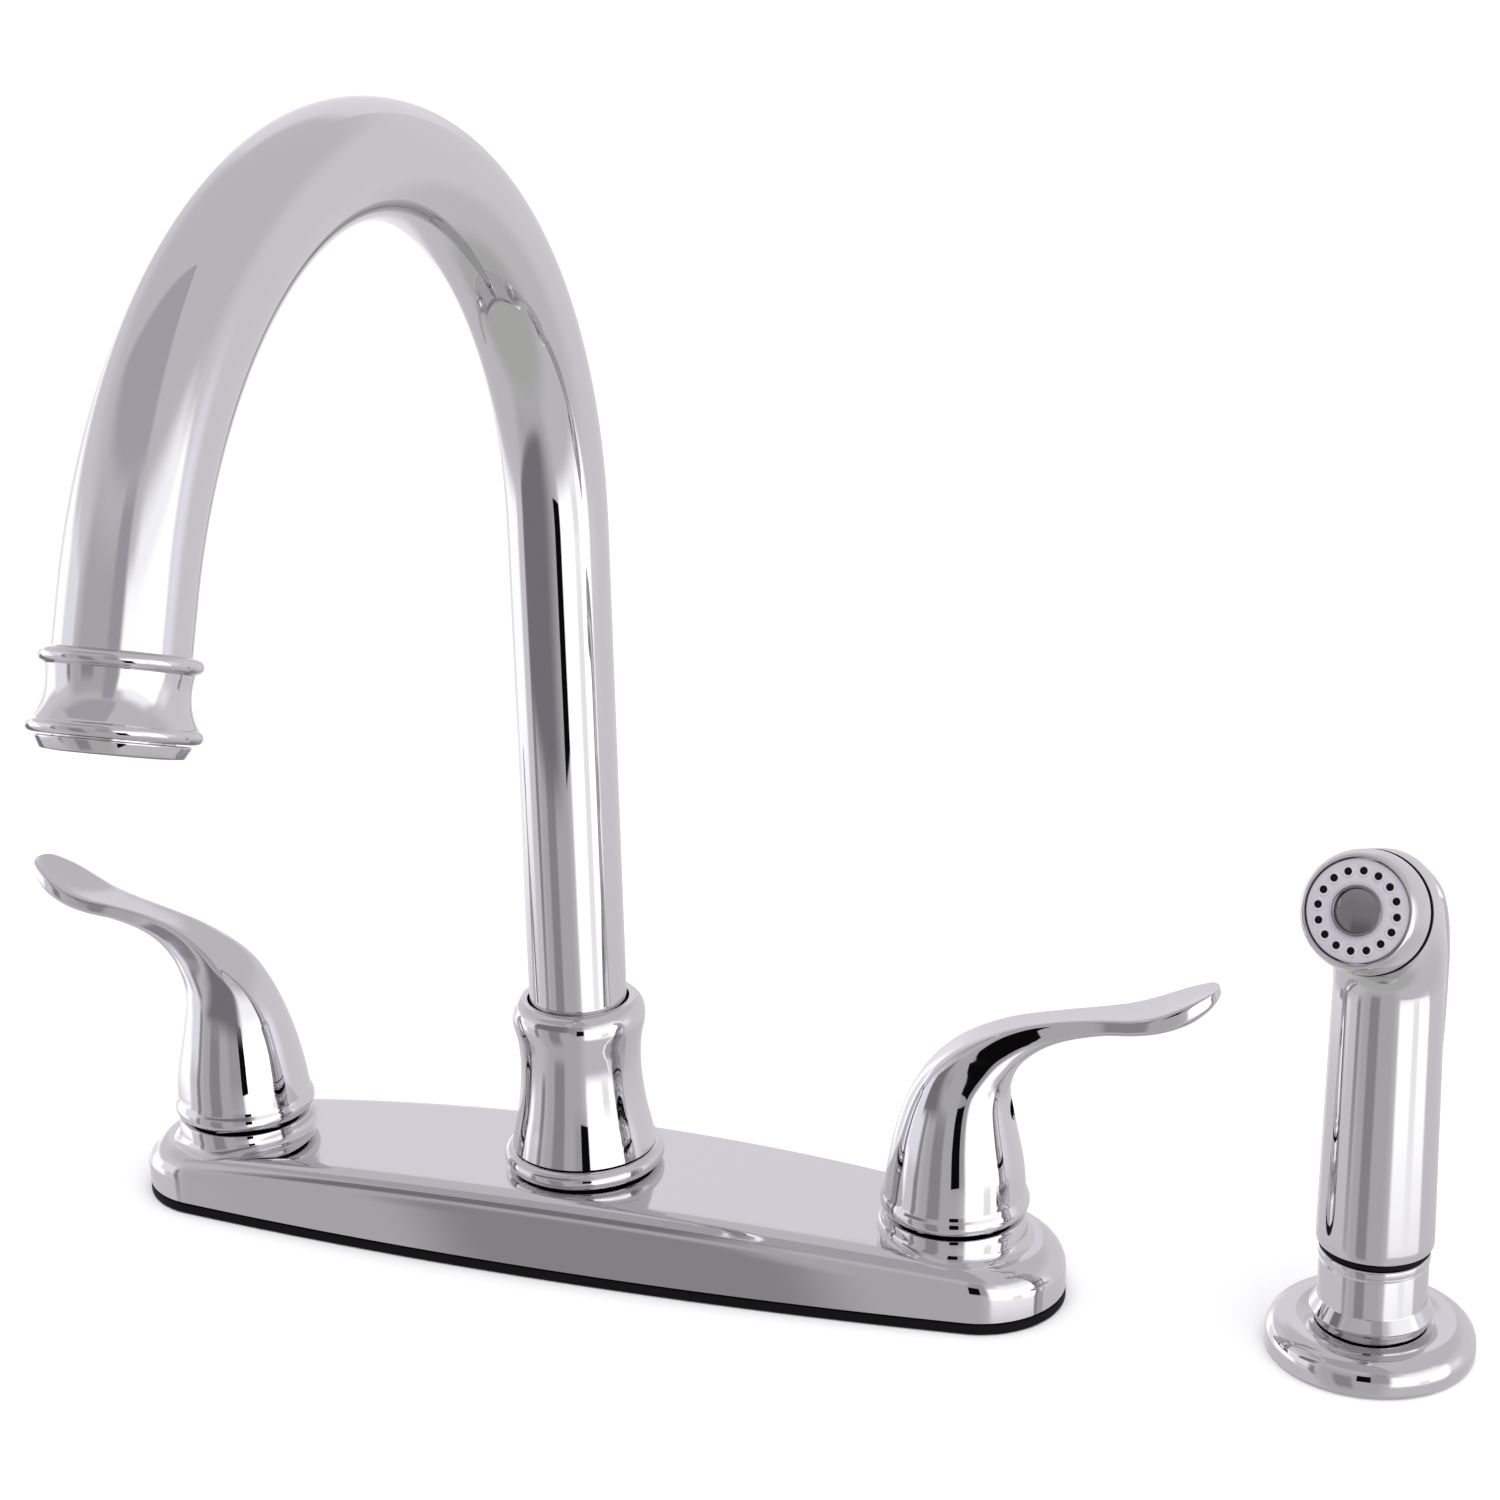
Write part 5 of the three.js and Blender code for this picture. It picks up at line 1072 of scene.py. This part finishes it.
seal = rounded([(10.5, SEAL_BACK, 0), (SEAL_RADIUS, SEAL_BACK, 0.15), (SEAL_RADIUS, SEAL_FRONT, 0.15),
                (10.5, SEAL_FRONT, 0)], 3)
add_piece("nozzle_seal", turned(seal), "wand", rubber, nozzle_place)

bowl = arc(NOZZLE_RIM, NOZZLE_BACK + 0.12 * NOZZLE_LENGTH, NOZZLE_RADIUS - NOZZLE_RIM,
           0.88 * NOZZLE_LENGTH, range(0, 91, 5))
lip = FACE_RADIUS + 0.3
shelf = FACE_FRONT - FACE_THICK - 0.3
ring_profile = [(8.2, HEAD_END - 6), (10.2, HEAD_END - 6), (10.2, NOZZLE_BACK), (13.9, NOZZLE_BACK),
                (14.3, NOZZLE_BACK + 0.4)] + bowl
ring_profile += [(lip + 0.15, NOZZLE_FRONT - 0.12), (lip, NOZZLE_FRONT - 0.4), (lip, shelf), (8.2, shelf)]
add_piece("nozzle_ring", turned(ring_profile), "wand", chrome, nozzle_place)


jets = [(JET_CIRCLE * sin(2 * pi * k / JETS), JET_CIRCLE * cos(2 * pi * k / JETS)) for k in range(JETS)]
face_disc = turned(rounded([(0, FACE_FRONT - FACE_THICK, 0), (FACE_RADIUS, FACE_FRONT - FACE_THICK, 0.2),
                            (FACE_RADIUS, FACE_FRONT, 0.3), (0, FACE_FRONT, 0)], 3), 96)
jet_rim = [(JET_RADIUS + 0.62, FACE_FRONT - 0.3), (JET_RADIUS + 0.55, FACE_FRONT + 0.1),
           (JET_RADIUS + 0.3, FACE_FRONT + 0.24), (JET_RADIUS, FACE_FRONT + 0.16),
           (JET_RADIUS, FACE_FRONT - 0.3)]
add_piece("spray_face", with_rims(face_disc, jets, jet_rim, 24), "wand", satin_grey,
          nozzle_place)


def jet_wells(radius, foot, top, around=20):
    """The dark bottoms of the wells, one short plug in each jet."""
    points, faces = [], []
    for x, y in jets:
        low = len(points)
        high = low + around
        points += circle(radius, foot, around, x, y) + circle(radius, top, around, x, y)
        faces += band(low, high, around)
        faces += [tuple(range(high, high + around)), tuple(range(high - 1, low - 1, -1))]
    return points, faces


add_piece("jet_shadows", jet_wells(JET_RADIUS - 0.02, FACE_FRONT - 0.25, FACE_FRONT + 0.04), "wand",
          rubber, nozzle_place, extra=True)

button = [(0, FACE_FRONT - 0.5), (3.8, FACE_FRONT - 0.5), (3.8, FACE_FRONT + 0.1),
          (BUTTON, FACE_FRONT + 0.1)]
button += arc(5.45, FACE_FRONT + 0.75, 0.38, 0.5, range(0, 200, 20))
button += [(4.9, FACE_FRONT + 0.35), (0, FACE_FRONT + 1.25)]
# the button's chrome is the darker copy: painted shade
add_piece("face_button", turned(button, 96), "wand", shade_painted_chrome, nozzle_place)

# %% [markdown]
# ## The parts under the deck
# What is clamped under the sink keeps its CAD shape, which is already right for nuts, washers and
# shanks, and only gets its real finish. The same goes for the small pieces inside the spout and wand.
# None of them shows in the mirror finish, because the sink's deck would hide them.

# %% Finishes for the carried-over nodes
finishes = {"chrome": chrome, "brass": brass, "steel": steel, "rubber": rubber, "nylon": nylon,
            "spray_plastic": satin_grey}
slots = {part["node"]: part["material_slot"] for part in frame["record"]["subparts"]}
kept = {name: piece for name, piece in frame["nodes"].items() if not piece.hide_render}
for name, piece in kept.items():
    piece.data.materials.clear()
    piece.data.materials.append(finishes[slots[name]])
    piece.visible_glossy = False
print("CAD nodes kept as they are:", list(kept))

# %% [markdown]
# ## Sizes before the end
# The dressed model must not outgrow the CAD model, because other people will build on its sizes. The
# two boxes are written down side by side.

# %% Print the two boxes and finish
visual_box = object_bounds()


def as_lists(value):
    if isinstance(value, (list, tuple, Vector)):
        return [as_lists(v) for v in value]
    return float(value)


{"cad": as_lists(cad_box), "visual": as_lists(visual_box)}
print("CAD box", as_lists(cad_box))
print("visual box", as_lists(visual_box))
